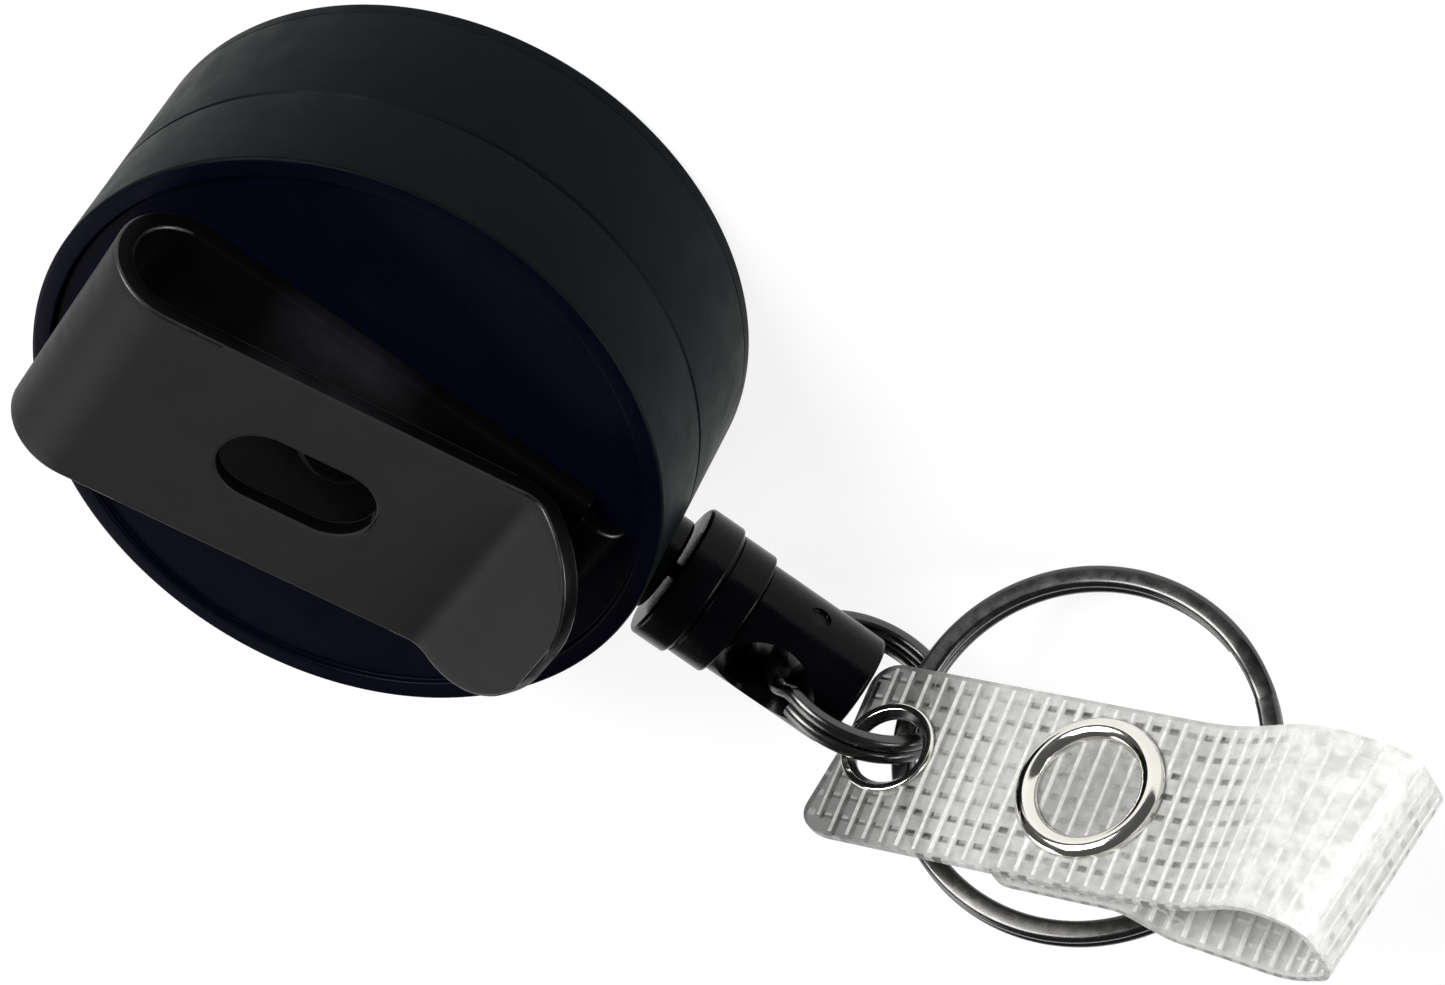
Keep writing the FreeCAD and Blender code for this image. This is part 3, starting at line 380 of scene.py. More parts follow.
class Shader:
    """A node material with one Principled shader, and short ways to feed it."""

    def __init__(self, name, color, roughness, metallic=0.0, specular=0.5):
        self.material = bpy.data.materials.new(name)
        self.material.use_nodes = True
        self.tree = self.material.node_tree
        self.main = self.tree.nodes["Principled BSDF"]
        self.color = color
        self.set(Base_Color=(*color, 1), Roughness=roughness, Metallic=metallic,
                 Specular_IOR_Level=specular)

    def node(self, kind, **inputs):
        """A new node with its inputs by name, where an underscore stands for a space."""
        made = self.tree.nodes.new("ShaderNode" + kind)
        self.feed_all(made, inputs)
        return made

    def set(self, **inputs):
        """Feeds inputs of the Principled shader."""
        self.feed_all(self.main, inputs)

    def feed_all(self, node, inputs):
        for key, value in inputs.items():
            self.feed(node, key.replace("_", " "), value)

    def feed(self, node, key, value):
        socket = node.inputs[key]
        if isinstance(value, bpy.types.NodeSocket):
            self.tree.links.new(value, socket)
        else:
            socket.default_value = value

    def place(self):
        """Object coordinates, in metres in the part's frame."""
        return self.node("TexCoord").outputs["Object"]

    def strap_place(self):
        """How far along and across the strap, in millimetres."""
        flat = self.node("SeparateXYZ", Vector=self.node("UVMap").outputs["UV"]).outputs
        return flat[0], flat[1]

    def noise(self, size, detail=3.0):
        """Noise whose features are about size millimetres across, from 0 to 1."""
        made = self.node("TexNoise", Scale=1 / (size * MM), Detail=detail, Vector=self.place())
        return made.outputs["Fac"]

    def spread(self, value, low, high, start=0.3, end=0.7):
        """A value from start to end, mapped to low to high."""
        made = self.node("MapRange", Value=value, From_Min=start, From_Max=end,
                         To_Min=low, To_Max=high)
        return made.outputs["Result"]

    def math(self, operation, first, second=0.0):
        made = self.tree.nodes.new("ShaderNodeMath")
        made.operation = operation
        self.feed(made, 0, first)
        self.feed(made, 1, second)
        return made.outputs[0]

    def mix(self, share, first, second):
        """A colour between two colours."""
        made = self.tree.nodes.new("ShaderNodeMix")
        made.data_type = "RGBA"
        for place, value in ((0, share), (6, first), (7, second)):
            self.feed(made, place, (*value, 1) if isinstance(value, tuple) else value)
        return made.outputs[2]

    def specks(self, spacing, size, share):
        """1 inside sparse round specks, and 0 elsewhere."""
        cells = self.node("TexVoronoi", Scale=1 / (spacing * MM), Vector=self.place())
        near = self.math("LESS_THAN", cells.outputs["Distance"], size / spacing)
        draw = self.node("SeparateColor", Color=cells.outputs["Color"]).outputs[0]
        return self.math("MULTIPLY", near, self.math("LESS_THAN", draw, share))

    def bump(self, height, depth):
        """Relief of the given depth in millimetres."""
        self.set(Normal=self.node("Bump", Height=height, Distance=depth * MM).outputs["Normal"])

    def shades(self, amount, share):
        """The base colour, made darker and lighter by amount."""
        darker = tuple(channel * (1 - amount) for channel in self.color)
        lighter = tuple(channel * (1 + amount) for channel in self.color)
        return self.mix(share, darker, lighter)


def moulded(name, color, roughness, specular, dust=0.0, grain=0.012):
    """Moulded plastic: cloudy tone, fine grain and, if asked for, specks of dust."""
    made = Shader(name, color, roughness, specular=specular)
    tone = made.shades(0.25, made.noise(6.0))
    if dust:
        tone = made.mix(made.specks(2.4, 0.10, dust), tone, (0.16, 0.17, 0.17))
    made.set(Base_Color=tone,
             Roughness=made.spread(made.noise(2.5), roughness - 0.05, roughness + 0.06))
    made.bump(made.noise(0.22, detail=2.0), grain)
    return made.material


def sprayed(made, roughness):
    """Gives a material the even fine texture of sprayed paint."""
    made.set(Roughness=made.spread(made.noise(1.2), roughness - 0.04, roughness + 0.05))
    made.bump(made.noise(0.16, detail=4.0), 0.010)
    return made.material


def painted(name, color, roughness, specular):
    """Paint on sheet steel."""
    made = Shader(name, color, roughness, specular=specular)
    made.set(Base_Color=made.shades(0.10, made.noise(3.0)))
    return sprayed(made, roughness)


def paint_with_painted_shade_and_light():
    """The clip's paint between its legs: near black as painted shade, with a soft paler patch of
    painted light where light falls in between the legs.
    """
    # painted shade: the same paint made near black between the legs
    made = Shader("clip_paint_painted_shade", (0.0016, 0.0016, 0.0020), 0.40, specular=0.03)
    spot = made.node("SeparateXYZ", Vector=made.place()).outputs
    painted_light = made.noise(3.0)
    # painted light: a paler patch where light falls in between the legs
    for place, (middle, reach) in enumerate(CLIP_PAINTED_LIGHT):
        off = made.math("ABSOLUTE", made.math("SUBTRACT", spot[place], middle * MM))
        near = made.spread(off, 1.0, 0.0, reach * 0.4 * MM, reach * MM)
        painted_light = made.math("MULTIPLY", painted_light, near)
    dark = made.shades(0.2, made.noise(3.0))
    made.set(Base_Color=made.mix(painted_light, dark, (0.020, 0.021, 0.024)))
    return sprayed(made, 0.40)


def metal(name, color, roughness, scratch=0.004, wear=0.15):
    """Plated or bare metal, with faint drawing marks."""
    made = Shader(name, color, roughness, metallic=1.0)
    made.set(Base_Color=made.shades(wear, made.noise(1.5)),
             Roughness=made.spread(made.noise(0.8), roughness * 0.8, roughness * 1.3))
    made.bump(made.noise(0.35, detail=2.0), scratch)
    return made.material


def braided(name, color):
    """Braided cord."""
    made = Shader(name, color, 0.75, specular=0.3)
    made.set(Base_Color=made.shades(0.4, made.noise(0.3)))
    weave = made.node("TexWave", Scale=1 / (1.4 * MM), Vector=made.place())
    made.bump(weave.outputs["Fac"], 0.05)
    return made.material


def film():
    """Vinyl: clear at the eyelet with a dark tone of painted shade there and inside the snap,
    frosted further on, milky at the fold where its white is partly painted light, and with clear
    dashes darkened by painted shade.
    """
    made = Shader("strap_vinyl", (0.56, 0.565, 0.54), 0.26)
    length, across = made.strap_place()

    def in_middle(value, pitch, phase, full, none):
        """1 in the middle of each pitch, fading between two shares of the pitch from it."""
        share = made.math("FRACT", made.math("ADD", made.math("DIVIDE", value, pitch), phase))
        off = made.math("ABSOLUTE", made.math("SUBTRACT", share, 0.5))
        return made.spread(off, 1.0, 0.0, full, none)

    # painted shade: the clear dashes take a dark tone for the shade seen through them
    dash_painted_shade = made.math("MULTIPLY", in_middle(across, THREAD_ROW, DASH_PHASE, 0.10, 0.18),
                     in_middle(length, THREAD_PITCH, 1 - THREAD_PHASE, 0.20, 0.31))
    strength = made.spread(made.noise(2.6), 0.15, 1.0, 0.38, 0.62)
    cloud = made.noise(0.9)
    from_snap = (made.math("SUBTRACT", length, STRAP_MARGIN + SNAP_DISTANCE),
                 made.math("ADD", across, STRAP_EDGE_LOW))
    squares = [made.math("POWER", made.math("ABSOLUTE", off), 2.0) for off in from_snap]
    off_snap = made.math("SQRT", made.math("ADD", *squares))
    # painted shade: the vinyl inside the snap takes the dark glassy tone
    in_snap_painted_shade = made.spread(off_snap, 0.62, 0.0, SNAP_HOLE_RADIUS - 0.2, SNAP_HOLE_RADIUS + 0.2)
    clear = made.math("MAXIMUM", made.spread(length, 1.0, 0.0, *CLEAR_SHADED_END), in_snap_painted_shade)
    # milky at the fold: stress whitening, and painted light that brightens it
    milky_and_lit = made.math("MULTIPLY", made.spread(length, 0.0, 1.0, *MILKY_AND_LIT_START),
                      made.spread(length, 1.0, 0.0, *MILKY_AND_LIT_END))
    shade = made.spread(cloud, 0.0, 1.0)
    frosted = made.mix(shade, (0.46, 0.465, 0.445), (0.62, 0.625, 0.60))
    # painted shade: the dark tone of the clear end and inside the snap
    glassy_painted_shade = made.mix(shade, (0.06, 0.06, 0.057), (0.15, 0.15, 0.145))
    blotch = made.spread(made.noise(1.1), 0.0, 1.0, 0.36, 0.60)
    # the fold's white, partly painted light
    white = made.mix(blotch, (0.66, 0.665, 0.635), (0.88, 0.88, 0.845))
    tone = made.mix(milky_and_lit, made.mix(clear, frosted, glassy_painted_shade), white)
    shown = made.math("MAXIMUM", strength, made.math("MULTIPLY", clear, 0.9))
    covered = made.math("SUBTRACT", 1.0, made.math("MULTIPLY", milky_and_lit, 0.9))
    dash_painted_shade = made.math("MULTIPLY", made.math("MULTIPLY", dash_painted_shade, shown), covered)
    alpha = made.math("SUBTRACT", made.spread(cloud, 0.78, 0.92), made.math("MULTIPLY", dash_painted_shade, 0.30))
    # the dashes' dark colour is painted shade
    made.set(Base_Color=made.mix(dash_painted_shade, tone, (0.045, 0.045, 0.045)),
             Alpha=made.math("MAXIMUM", alpha, made.math("MULTIPLY", milky_and_lit, 0.93)),
             Roughness=made.spread(made.noise(1.6), 0.20, 0.34))
    made.bump(made.noise(0.6), 0.04)
    return made.material


def film_inside():
    """The vinyl's inner face, seen through the outer one."""
    made = Shader("strap_vinyl_inside", (0.80, 0.80, 0.77), 0.30, specular=0.4)
    clear = made.spread(made.strap_place()[0], 1.0, 0.0, *CLEAR_SHADED_END)
    # painted shade: the inner face turns dark at the clear end
    made.set(Base_Color=made.mix(clear, made.shades(0.15, made.noise(1.2)), (0.10, 0.10, 0.10)),
             Alpha=made.spread(made.noise(0.9), 0.26, 0.42))
    made.bump(made.noise(0.6), 0.04)
    return made.material


def thread():
    """White polyester thread, painted darker near the eyelet where the vinyl is clear, as painted
    shade.
    """
    made = Shader("strap_thread", (0.90, 0.90, 0.875), 0.5, specular=0.3)
    # painted shade: the threads darken near the eyelet
    painted_shade_near_eyelet = made.spread(made.strap_place()[0], 1.0, 0.0, 1.0, 8.0)
    made.set(Base_Color=made.mix(painted_shade_near_eyelet, made.shades(0.05, made.noise(0.5)), (0.46, 0.46, 0.45)),
             Alpha=made.spread(made.noise(0.4), 0.70, 1.0))
    return made.material


def clear_plastic():
    """The clear moulding in the middle of the snap."""
    made = Shader("snap_clear", (0.75, 0.76, 0.74), 0.12)
    made.set(Alpha=made.spread(made.noise(0.6), 0.10, 0.28))
    made.bump(made.noise(1.1), 0.25)
    return made.material


MATERIALS = {
    "case": moulded("case_black", (0.0028, 0.0046, 0.0056), 0.42, 0.030, dust=0.03),
    "case_face": moulded("case_face_black", (0.0012, 0.0016, 0.0055), 0.30, 0.03, grain=0.006),
    "clip": painted("clip_paint", (0.0215, 0.0215, 0.022), 0.42, 0.035),
    # the clip's paint with painted shade between its legs and a patch of painted light
    "clip_painted_shade": paint_with_painted_shade_and_light(),
    "clip_edge": metal("clip_worn_edge", (0.05, 0.05, 0.053), 0.38),
    "fitting": moulded("fitting_black", (0.0007, 0.0009, 0.0016), 0.22, 0.11, dust=0.02),
    "ring": metal("gunmetal", (0.095, 0.093, 0.091), 0.24, scratch=0.0015, wear=0.08),
    "nickel": metal("nickel", (0.80, 0.78, 0.72), 0.10, scratch=0.002, wear=0.06),
    "cord": braided("cord_black", (0.012, 0.012, 0.013)),
    "inner_plastic": moulded("inner_white", (0.72, 0.72, 0.69), 0.45, 0.5),
    "spring": metal("spring_blue", (0.32, 0.33, 0.38), 0.30),
    "inner_steel": metal("plain_steel", (0.55, 0.55, 0.56), 0.28),
    "film": film(),
    "film_inside": film_inside(),
    "thread": thread(),
    "snap_clear": clear_plastic(),
}


# For each piece, its materials by the material numbers of its faces, the record's slot, the
# body that it rides on and the CAD nodes that it replaces.  A blended piece has no body here.
PIECES = {
    "case_front": (["case"], "case_plastic", "case", ["front_shell"]),
    "case_rear": (["case", "case_face"], "case_plastic", "case", ["rear_shell"]),
    "bush_eye": (["fitting"], "fitting_plastic", "case", ["exit_bush"]),
    # the clip's edges and inner faces and the rivet take the paint with painted shade
    "clip_strip": (["clip", "clip_edge", "clip_painted_shade"], "clip_steel", "case", ["belt_clip"]),
    "rivet_head": (["clip_painted_shade"], "clip_steel", "case", ["clip_rivet"]),
    "collar_cap": (["fitting"], "fitting_plastic", "cord_end", ["end_cap"]),
    "swivel_sleeve": (["fitting"], "fitting_plastic", "sleeve", ["end_sleeve"]),
    "split_ring_small": (["ring"], "ring_steel", "small_link", ["small_ring"]),
    "split_ring_large": (["ring"], "ring_steel", "large_link", ["large_ring"]),
    "eyelet_rim": (["nickel", "ring"], "nickel", "strap", ["strap_eyelet"]),
    "snap_ring": (["nickel"], "nickel", "strap", ["snap_cap"]),
    "snap_base": (["nickel"], "nickel", "strap", ["snap_socket"]),
    "snap_window": (["snap_clear"], "strap_vinyl", "strap", []),
    "snap_post": (["nickel"], "nickel", "flap", ["snap_stud"]),
    "cord_run": (["cord"], "cord", None, ["cord_lead"]),
    "strap_film": (["film", "film_inside"], "strap_vinyl", None, ["strap_upper", "strap_lower"]),
    "strap_threads": (["thread"], "strap_vinyl", None, []),
}
INNER = {
    "centre_post": "inner_steel",
    "lower_thrust_washer": "inner_plastic",
    "upper_thrust_washer": "inner_plastic",
    "spool": "inner_plastic",
    "spring_cover": "inner_plastic",
    "spiral_spring": "spring",
    "cord_pack": "cord",
    "cord_knot": "cord",
}


def dress(obj, *keys):
    """Gives an object its materials, in the order of its faces' material numbers."""
    obj.data.materials.clear()
    for key in keys:
        obj.data.materials.append(MATERIALS[key])


# ---- case


def face_material(obj, number, choose):
    """Gives a material number to the faces that choose(centre in mm, normal) picks."""
    for polygon in obj.data.polygons:
        if choose(polygon.center / MM, polygon.normal):
            polygon.material_index = number


def case_front():
    lathe("case_front", [
        (0, 0),
        (CASE_RADIUS, 0, FRONT_ROUND),
        (CASE_RADIUS, FRONT_LINE - LINE_DEPTH, LINE_ROUND),
        (CASE_RADIUS - LINE_DEPTH, FRONT_LINE),
        (CASE_RADIUS, FRONT_LINE + LINE_DEPTH, LINE_ROUND),
        (CASE_RADIUS, CORD_HEIGHT - SEAM_GROOVE, SEAM_ROUND),
        (CASE_RADIUS - SEAM_GROOVE, CORD_HEIGHT),
        (CASE_BORE, CORD_HEIGHT),
        (CASE_BORE, WALL, INNER_ROUND),
        (0, WALL),
    ], CASE_STEPS, closed=False, arc_step=8)


def case_rear():
    low = CORD_HEIGHT + SEAM_GAP
    rim = CASE_RADIUS - RIM_WIDTH
    shell = lathe("case_rear", [
        (0, REAR_FACE),
        (0, REAR_FACE - WALL),
        (CASE_BORE, REAR_FACE - WALL, INNER_ROUND),
        (CASE_BORE, low),
        (CASE_RADIUS - SEAM_GROOVE, low),
        (CASE_RADIUS, low + SEAM_GROOVE, SEAM_ROUND),
        (CASE_RADIUS, CASE_HEIGHT, RIM_ROUND),
        (rim, CASE_HEIGHT, RIM_INNER_ROUND),
        (rim, REAR_FACE, 0.1),
    ], CASE_STEPS, arc_step=8)
    outside = CASE_RADIUS - RIM_ROUND / 2
    face_material(shell, 1, lambda spot, normal:
                  spot.z > REAR_FACE - 0.05 and spot.xy.length < outside)


def bush_eye():
    lathe("bush_eye", [
        (BUSH_BORE, BUSH_OUTER - BUSH_DEPTH),
        (BUSH_RADIUS, BUSH_OUTER - BUSH_DEPTH),
        (BUSH_RADIUS, BUSH_OUTER, 0.3),
        (BUSH_BORE, BUSH_OUTER, 0.4),
    ], 72, X_AXIS, CORD_LINE)


# ---- belt clip


def leg_z(x):
    """Height of the upper leg's middle line."""
    slope = math.radians(CLIP_LEG_SLOPE)
    rise = CASE_HEIGHT + CLIP_LEG_RISE - x * math.tan(slope)
    return rise - CLIP_THICKNESS / 2 / math.cos(slope)


def clip_rows():
    """Corners of the strip's middle line in XZ, with their bend radii."""
    tip = math.radians(CLIP_TIP_ANGLE)
    base_z = REAR_FACE + CLIP_THICKNESS / 2
    bend_x = CLIP_THICKNESS / 2 - CLIP_BEND_REACH
    tip_z = leg_z(CLIP_TIP_START)
    return [
        (CLIP_TAB_REACH, REAR_FACE - CLIP_TAB_DEPTH),
        (CLIP_TAB_REACH, base_z, CLIP_TAB_BEND),
        (bend_x, base_z, CLIP_BEND_RADIUS),
        (bend_x, leg_z(bend_x), CLIP_BEND_RADIUS),
        (CLIP_TIP_START, tip_z, CLIP_TIP_BEND),
        (CLIP_TIP_START + CLIP_TIP_LENGTH * math.cos(tip), tip_z + CLIP_TIP_LENGTH * math.sin(tip)),
    ]


def clip_half_width(place, to_end, on_leg):
    """Half of the strip's width at a point of its middle line."""
    if not on_leg and place.x > CLIP_SHOULDER:
        return CLIP_TAB_WIDTH / 2
    return CLIP_WIDTH / 2 - drawn_in(to_end, CLIP_TIP_CORNER)


def slot_half_width(place, on_leg):
    """Half of the slot's width at a point of the upper leg, or 0 beside the slot."""
    past = max(0.0, abs(place.x - SLOT_CENTRE) - SLOT_STRAIGHT)
    if not on_leg or past >= SLOT_RADIUS:
        return 0.0
    return math.sqrt(SLOT_RADIUS ** 2 - past ** 2)


def clip_stations():
    """Points of the strip's middle line, closer together at the slot's ends and the tip."""
    line = spaced(outline(clip_rows(), closed=False, step=6), 0.4)
    base_z = REAR_FACE + CLIP_THICKNESS / 2
    extra = [Vector((CLIP_SHOULDER + shift, base_z)) for shift in (-0.001, 0.001)]
    quarter = [math.pi / 2 * index / 12 for index in range(13)]
    for side in (-1, 1):
        for angle in quarter:
            x = SLOT_CENTRE + side * (SLOT_STRAIGHT + SLOT_RADIUS * math.sin(angle))
            extra.append(Vector((x, leg_z(x))))
    way = (line[-2] - line[-1]).normalized()
    extra += [line[-1] + way * CLIP_TIP_CORNER * (1 - math.cos(angle)) for angle in quarter[1:-1]]
    return insert_points(line, extra)


def insert_points(line, extra):
    """A polyline with further points put in where they lie on it, and close ones merged."""
    lengths = running_lengths(line)
    marks = [(length, point, 0) for length, point in zip(lengths, line)]
    for spot in extra:
        found = []
        for length, last, point in zip(lengths, line, line[1:]):
            run = point - last
            share = max(0.0, min(1.0, (spot - last).dot(run) / run.length_squared))
            near = last + run * share
            found.append(((near - spot).length, length + share * run.length, near))
        marks.append((*min(found, key=lambda place: place[0])[1:], 1))
    marks.sort(key=lambda mark: mark[0])
    kept = []
    for mark in marks:
        if kept and mark[0] - kept[-1][0] < MERGE_GAP and not (mark[2] and kept[-1][2]):
            if mark[2]:
                kept[-1] = mark
            continue
        kept.append(mark)
    return [mark[1] for mark in kept]


def on_clip_base(spot):
    """True for the strip's base leg, up to the big bend."""
    return spot.z < CLIP_BASE_TOP + 0.05 and spot.x > CLIP_BEND_END


def in_clip_painted_shade(spot, normal):
    """True for the faces that take the painted shade: the strip's edges, its base leg and the side
    of the upper leg that faces it.
    """
    past_bend = spot.x > SLOT_CENTRE - SLOT_LENGTH / 2 - 0.3
    on_edge = abs(normal.y) > 0.7 or (past_bend and abs(normal.z) < 0.6)
    faces_in = normal.z < -0.3 and spot.z > CLIP_BASE_TOP + 0.05
    in_bend = spot.x < CLIP_BEND_END and normal.x > 0
    return on_edge or on_clip_base(spot) or faces_in or in_bend


def clip_grid():
    """The strip's points, and for each station their numbers by side and half, and the gap
    between the halves."""
    line = clip_stations()
    lengths = running_lengths(line)
    points, grid = [], []
    for index, place in enumerate(line):
        ahead = line[min(len(line) - 1, index + 1)]
        way = (ahead - line[max(0, index - 1)]).normalized()
        on_leg = place.y > CASE_HEIGHT + CLIP_THICKNESS * 2
        wide = max(0.05, clip_half_width(place, lengths[-1] - lengths[index], on_leg))
        gap = slot_half_width(place, on_leg)
        rows = []
        for side in (1, -1):
            spot = place + Vector((way.y, -way.x)) * (side * CLIP_THICKNESS / 2)
            row = []
            for sign in (-1, 1):
                strip = []
                for step in range(CLIP_COLUMNS + 1):
                    if step == 0 and gap == 0 and sign == 1:
                        strip.append(row[0][0])
                        continue
                    strip.append(len(points))
                    y = sign * (gap + (wide - gap) * step / CLIP_COLUMNS)
                    points.append(Vector((spot.x, y, spot.y)))
                row.append(strip)
            rows.append(row)
        grid.append((rows, gap))
    return points, grid


def clip_faces(grid):
    """The strip's two sides, its outer edges, the slot's walls and the two ends."""
    faces = []
    for (rows, gap), (next_rows, next_gap) in zip(grid, grid[1:]):
        for row, next_row in zip(rows, next_rows):
            for here, there in zip(row, next_row):
                faces += bridge(here, there)
        for top, bottom, next_top, next_bottom in zip(*rows, *next_rows):
            for end in (-1, 0) if gap > 0 or next_gap > 0 else (-1,):
                faces.append([top[end], bottom[end], next_bottom[end], next_top[end]])
    for rows, _ in (grid[0], grid[-1]):
        for top, bottom in zip(*rows):
            faces += bridge(top, bottom)
    return faces


def clip_strip():
    points, grid = clip_grid()
    clip = mesh_object("clip_strip", points, clip_faces(grid), 40.0)
    # painted shade on the edges, the base leg and the faces between the legs
    face_material(clip, 2, in_clip_painted_shade)
    bevel = clip.modifiers.new("edge", "BEVEL")
    bevel.width = CLIP_EDGE_ROUND * MM
    bevel.segments = 2
    bevel.limit_method = "ANGLE"
    bevel.angle_limit = math.radians(50)
    bevel.use_clamp_overlap = False
    bevel.material = 1
    rebuilt(clip)
    # the base leg up to its tab takes the painted shade
    for polygon in clip.data.polygons:
        spot = polygon.center / MM
        if on_clip_base(spot) and spot.x < CLIP_TAB_REACH - CLIP_TAB_BEND:
            polygon.material_index = 2
        elif polygon.material_index == 1 and abs(spot.x) < CLIP_WORN_FROM:
            polygon.material_index = 0
    clip.data.set_sharp_from_angle(angle=math.radians(60))


def rivet_head():
    lathe("rivet_head", [
        (0, CLIP_BASE_TOP - RIVET_DEPTH),
        (RIVET_SHANK, CLIP_BASE_TOP - RIVET_DEPTH),
        (RIVET_SHANK, CLIP_BASE_TOP - 0.05),
        (RIVET_RADIUS, CLIP_BASE_TOP - 0.05),
        (RIVET_RADIUS, CLIP_BASE_TOP + 0.25, 0.15),
        (RIVET_CROWN, CLIP_BASE_TOP + 0.8, 0.5),
        (0, CLIP_BASE_TOP + 0.8),
    ], 64, closed=False)


# ---- cord and end fitting


def cord_run():
    """The cord from inside the case to the end cap, which pays out between the two."""
    start = CASE_BORE + 0.4
    end = COLLAR_START + CAP_WALL
    places = [start + (end - start) * index / CORD_ROWS for index in range(CORD_ROWS + 1)]
    around = [round_about(360 * step / CORD_SIDES, CORD_RADIUS).xy for step in range(CORD_SIDES)]
    run = sweep("cord_run", [(Vector((x, 0, CORD_HEIGHT)), Y_AXIS, Z_AXIS) for x in places], around)
    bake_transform(run)


def collar_cap():
    """Collar and neck, with a fine groove between them."""
    bore = CORD_RADIUS + 0.2
    groove = NECK_RADIUS - NECK_GROOVE
    low, high = (COLLAR_START + COLLAR_LENGTH + end for end in NECK_GROOVE_SPAN)
    lathe("collar_cap", [
        (bore, COLLAR_START, 0.15),
        (COLLAR_RADIUS, COLLAR_START, 0.30),
        (COLLAR_RADIUS, low, 0.22),
        (groove, low, 0.05),
        (groove, high, 0.05),
        (NECK_RADIUS, high, 0.08),
        (NECK_RADIUS, SLEEVE_START, 0.18),
        (STUB_RADIUS, SLEEVE_START),
        (STUB_RADIUS, COLLAR_START + CAP_WALL),
        (bore, COLLAR_START + CAP_WALL),
    ], 120, X_AXIS, CORD_LINE)


def swivel_sleeve():
    """The sleeve, with its stub, its flared cross hole and the small round mark."""
    face = SLEEVE_START + 0.05
    sleeve = lathe("swivel_sleeve", [
        (0, face - 1.2),
        (STUB_RADIUS - 0.1, face - 1.2),
        (STUB_RADIUS - 0.1, face),
        (SLEEVE_RADIUS, face, 0.15),
        (SLEEVE_RADIUS, SLEEVE_END, SLEEVE_ROUND),
        (0, SLEEVE_END),
    ], 144, X_AXIS, CORD_LINE, closed=False)
    reach = SLEEVE_RADIUS + 0.4
    flare = []
    for height in (reach * (2 * index / 32 - 1) for index in range(33)):
        wide = CROSS_HOLE_RADIUS + CROSS_HOLE_FLARE - math.sqrt(CROSS_HOLE_FLARE ** 2 - height ** 2)
        flare.append((wide, height))
    cut_away(sleeve, lathe("hole_cutter", [(0, -reach)] + flare + [(0, reach)], 64, Z_AXIS,
                           (CROSS_HOLE_X, 0, CORD_HEIGHT), closed=False))
    cut_away(sleeve, lathe("dimple_cutter", [
        (0, SLEEVE_RADIUS - DIMPLE_DEPTH),
        (DIMPLE_RADIUS, SLEEVE_RADIUS - DIMPLE_DEPTH, 0.1),
        (DIMPLE_RADIUS, SLEEVE_RADIUS + 1),
        (0, SLEEVE_RADIUS + 1),
    ], 40, Y_AXIS, (CROSS_HOLE_X + DIMPLE_SHIFT, 0, CORD_HEIGHT), closed=False))


# ---- split rings


def wire_section(wire, coil, corner):
    """The rounded section of one coil, as offsets across and up."""
    half, rise = wire / 2, coil / 2
    corners = ((-half, -rise), (half, -rise), (half, rise), (-half, rise))
    return outline([(*spot, corner) for spot in corners], step=18)


def split_ring(name, radius, wire, coil, placement):
    """One wire in two flat coils, crossing from the lower to the upper one."""
    rise = coil + COIL_GAP
    turn = 360 - COIL_CROSSING
    coil_angles = [turn * index / 150 for index in range(151)]
    angles = coil_angles + [turn + COIL_CROSSING * index / 14 for index in range(1, 14)]
    angles += [360 + angle for angle in coil_angles]
    stations = []
    for angle in angles:
        share = max(0.0, min(1.0, (angle - turn) / COIL_CROSSING))
        height = -rise / 2 + rise * (1 - math.cos(math.pi * share)) / 2
        out = round_about(angle, 1)
        stations.append((out * radius + Z_AXIS * height, out, Z_AXIS))
    ring = sweep(name, stations, wire_section(wire, coil, coil * 0.42), 60.0)
    ring.data.transform(placement)


def turned(angle, axis):
    return Matrix.Rotation(math.radians(angle), 4, axis)


def turned_by(yaw, pitch, roll):
    """Rolls about X, then lifts X by the pitch, and last yaws about Z."""
    return turned(yaw, "Z") @ turned(-pitch, "Y") @ turned(roll, "X")


def shifted(vector):
    return Matrix.Translation(Vector(vector) * MM)


def round_about(angle, radius):
    """A point of XY at an angle in degrees and a distance from the origin."""
    angle = math.radians(angle)
    return Vector((radius * math.cos(angle), radius * math.sin(angle), 0))


def small_ring_frame():
    """Z is the small ring's axis, and X points from the cross hole to its middle."""
    hinge = (CROSS_HOLE_X, 0, CORD_HEIGHT + SMALL_RING_LIFT)
    turn = turned(SMALL_RING_TURN, "Z") @ turned(90 - SMALL_RING_TILT, "X")
    return shifted(hinge) @ turn @ shifted((SMALL_RING_RADIUS, 0, 0))


def large_ring_frame():
    """Z is the large ring's axis, and X points from where it hangs to its middle."""
    turn = turned_by(LARGE_RING_YAW, LARGE_RING_PITCH, LARGE_RING_ROLL)
    reach = SMALL_RING_RADIUS - SMALL_WIRE / 2 - LARGE_RING_SLACK - LARGE_WIRE / 2
    hang = round_about(LARGE_RING_ANGLE, reach) + Z_AXIS * LARGE_RING_SHIFT
    return small_ring_frame() @ shifted(hang) @ turn @ shifted((LARGE_RING_RADIUS, 0, 0))


def small_ring():
    split_ring("split_ring_small", SMALL_RING_RADIUS, SMALL_WIRE, SMALL_COIL,
               small_ring_frame() @ turned(SMALL_RING_SPIN, "Z"))


def large_ring():
    split_ring("split_ring_large", LARGE_RING_RADIUS, LARGE_WIRE, LARGE_COIL,
               large_ring_frame() @ turned(LARGE_RING_SPIN, "Z"))


# ---- strap


def strap_frame():
    """From the strap's own frame, whose origin is in the eyelet, to the part's."""
    hang = small_ring_frame() @ (round_about(EYELET_ANGLE, SMALL_RING_RADIUS + EYELET_OUTWARD) * MM)
    return Matrix.Translation(hang) @ turned_by(STRAP_YAW, STRAP_PITCH, STRAP_ROLL)


STRAP_FRAME = strap_frame()


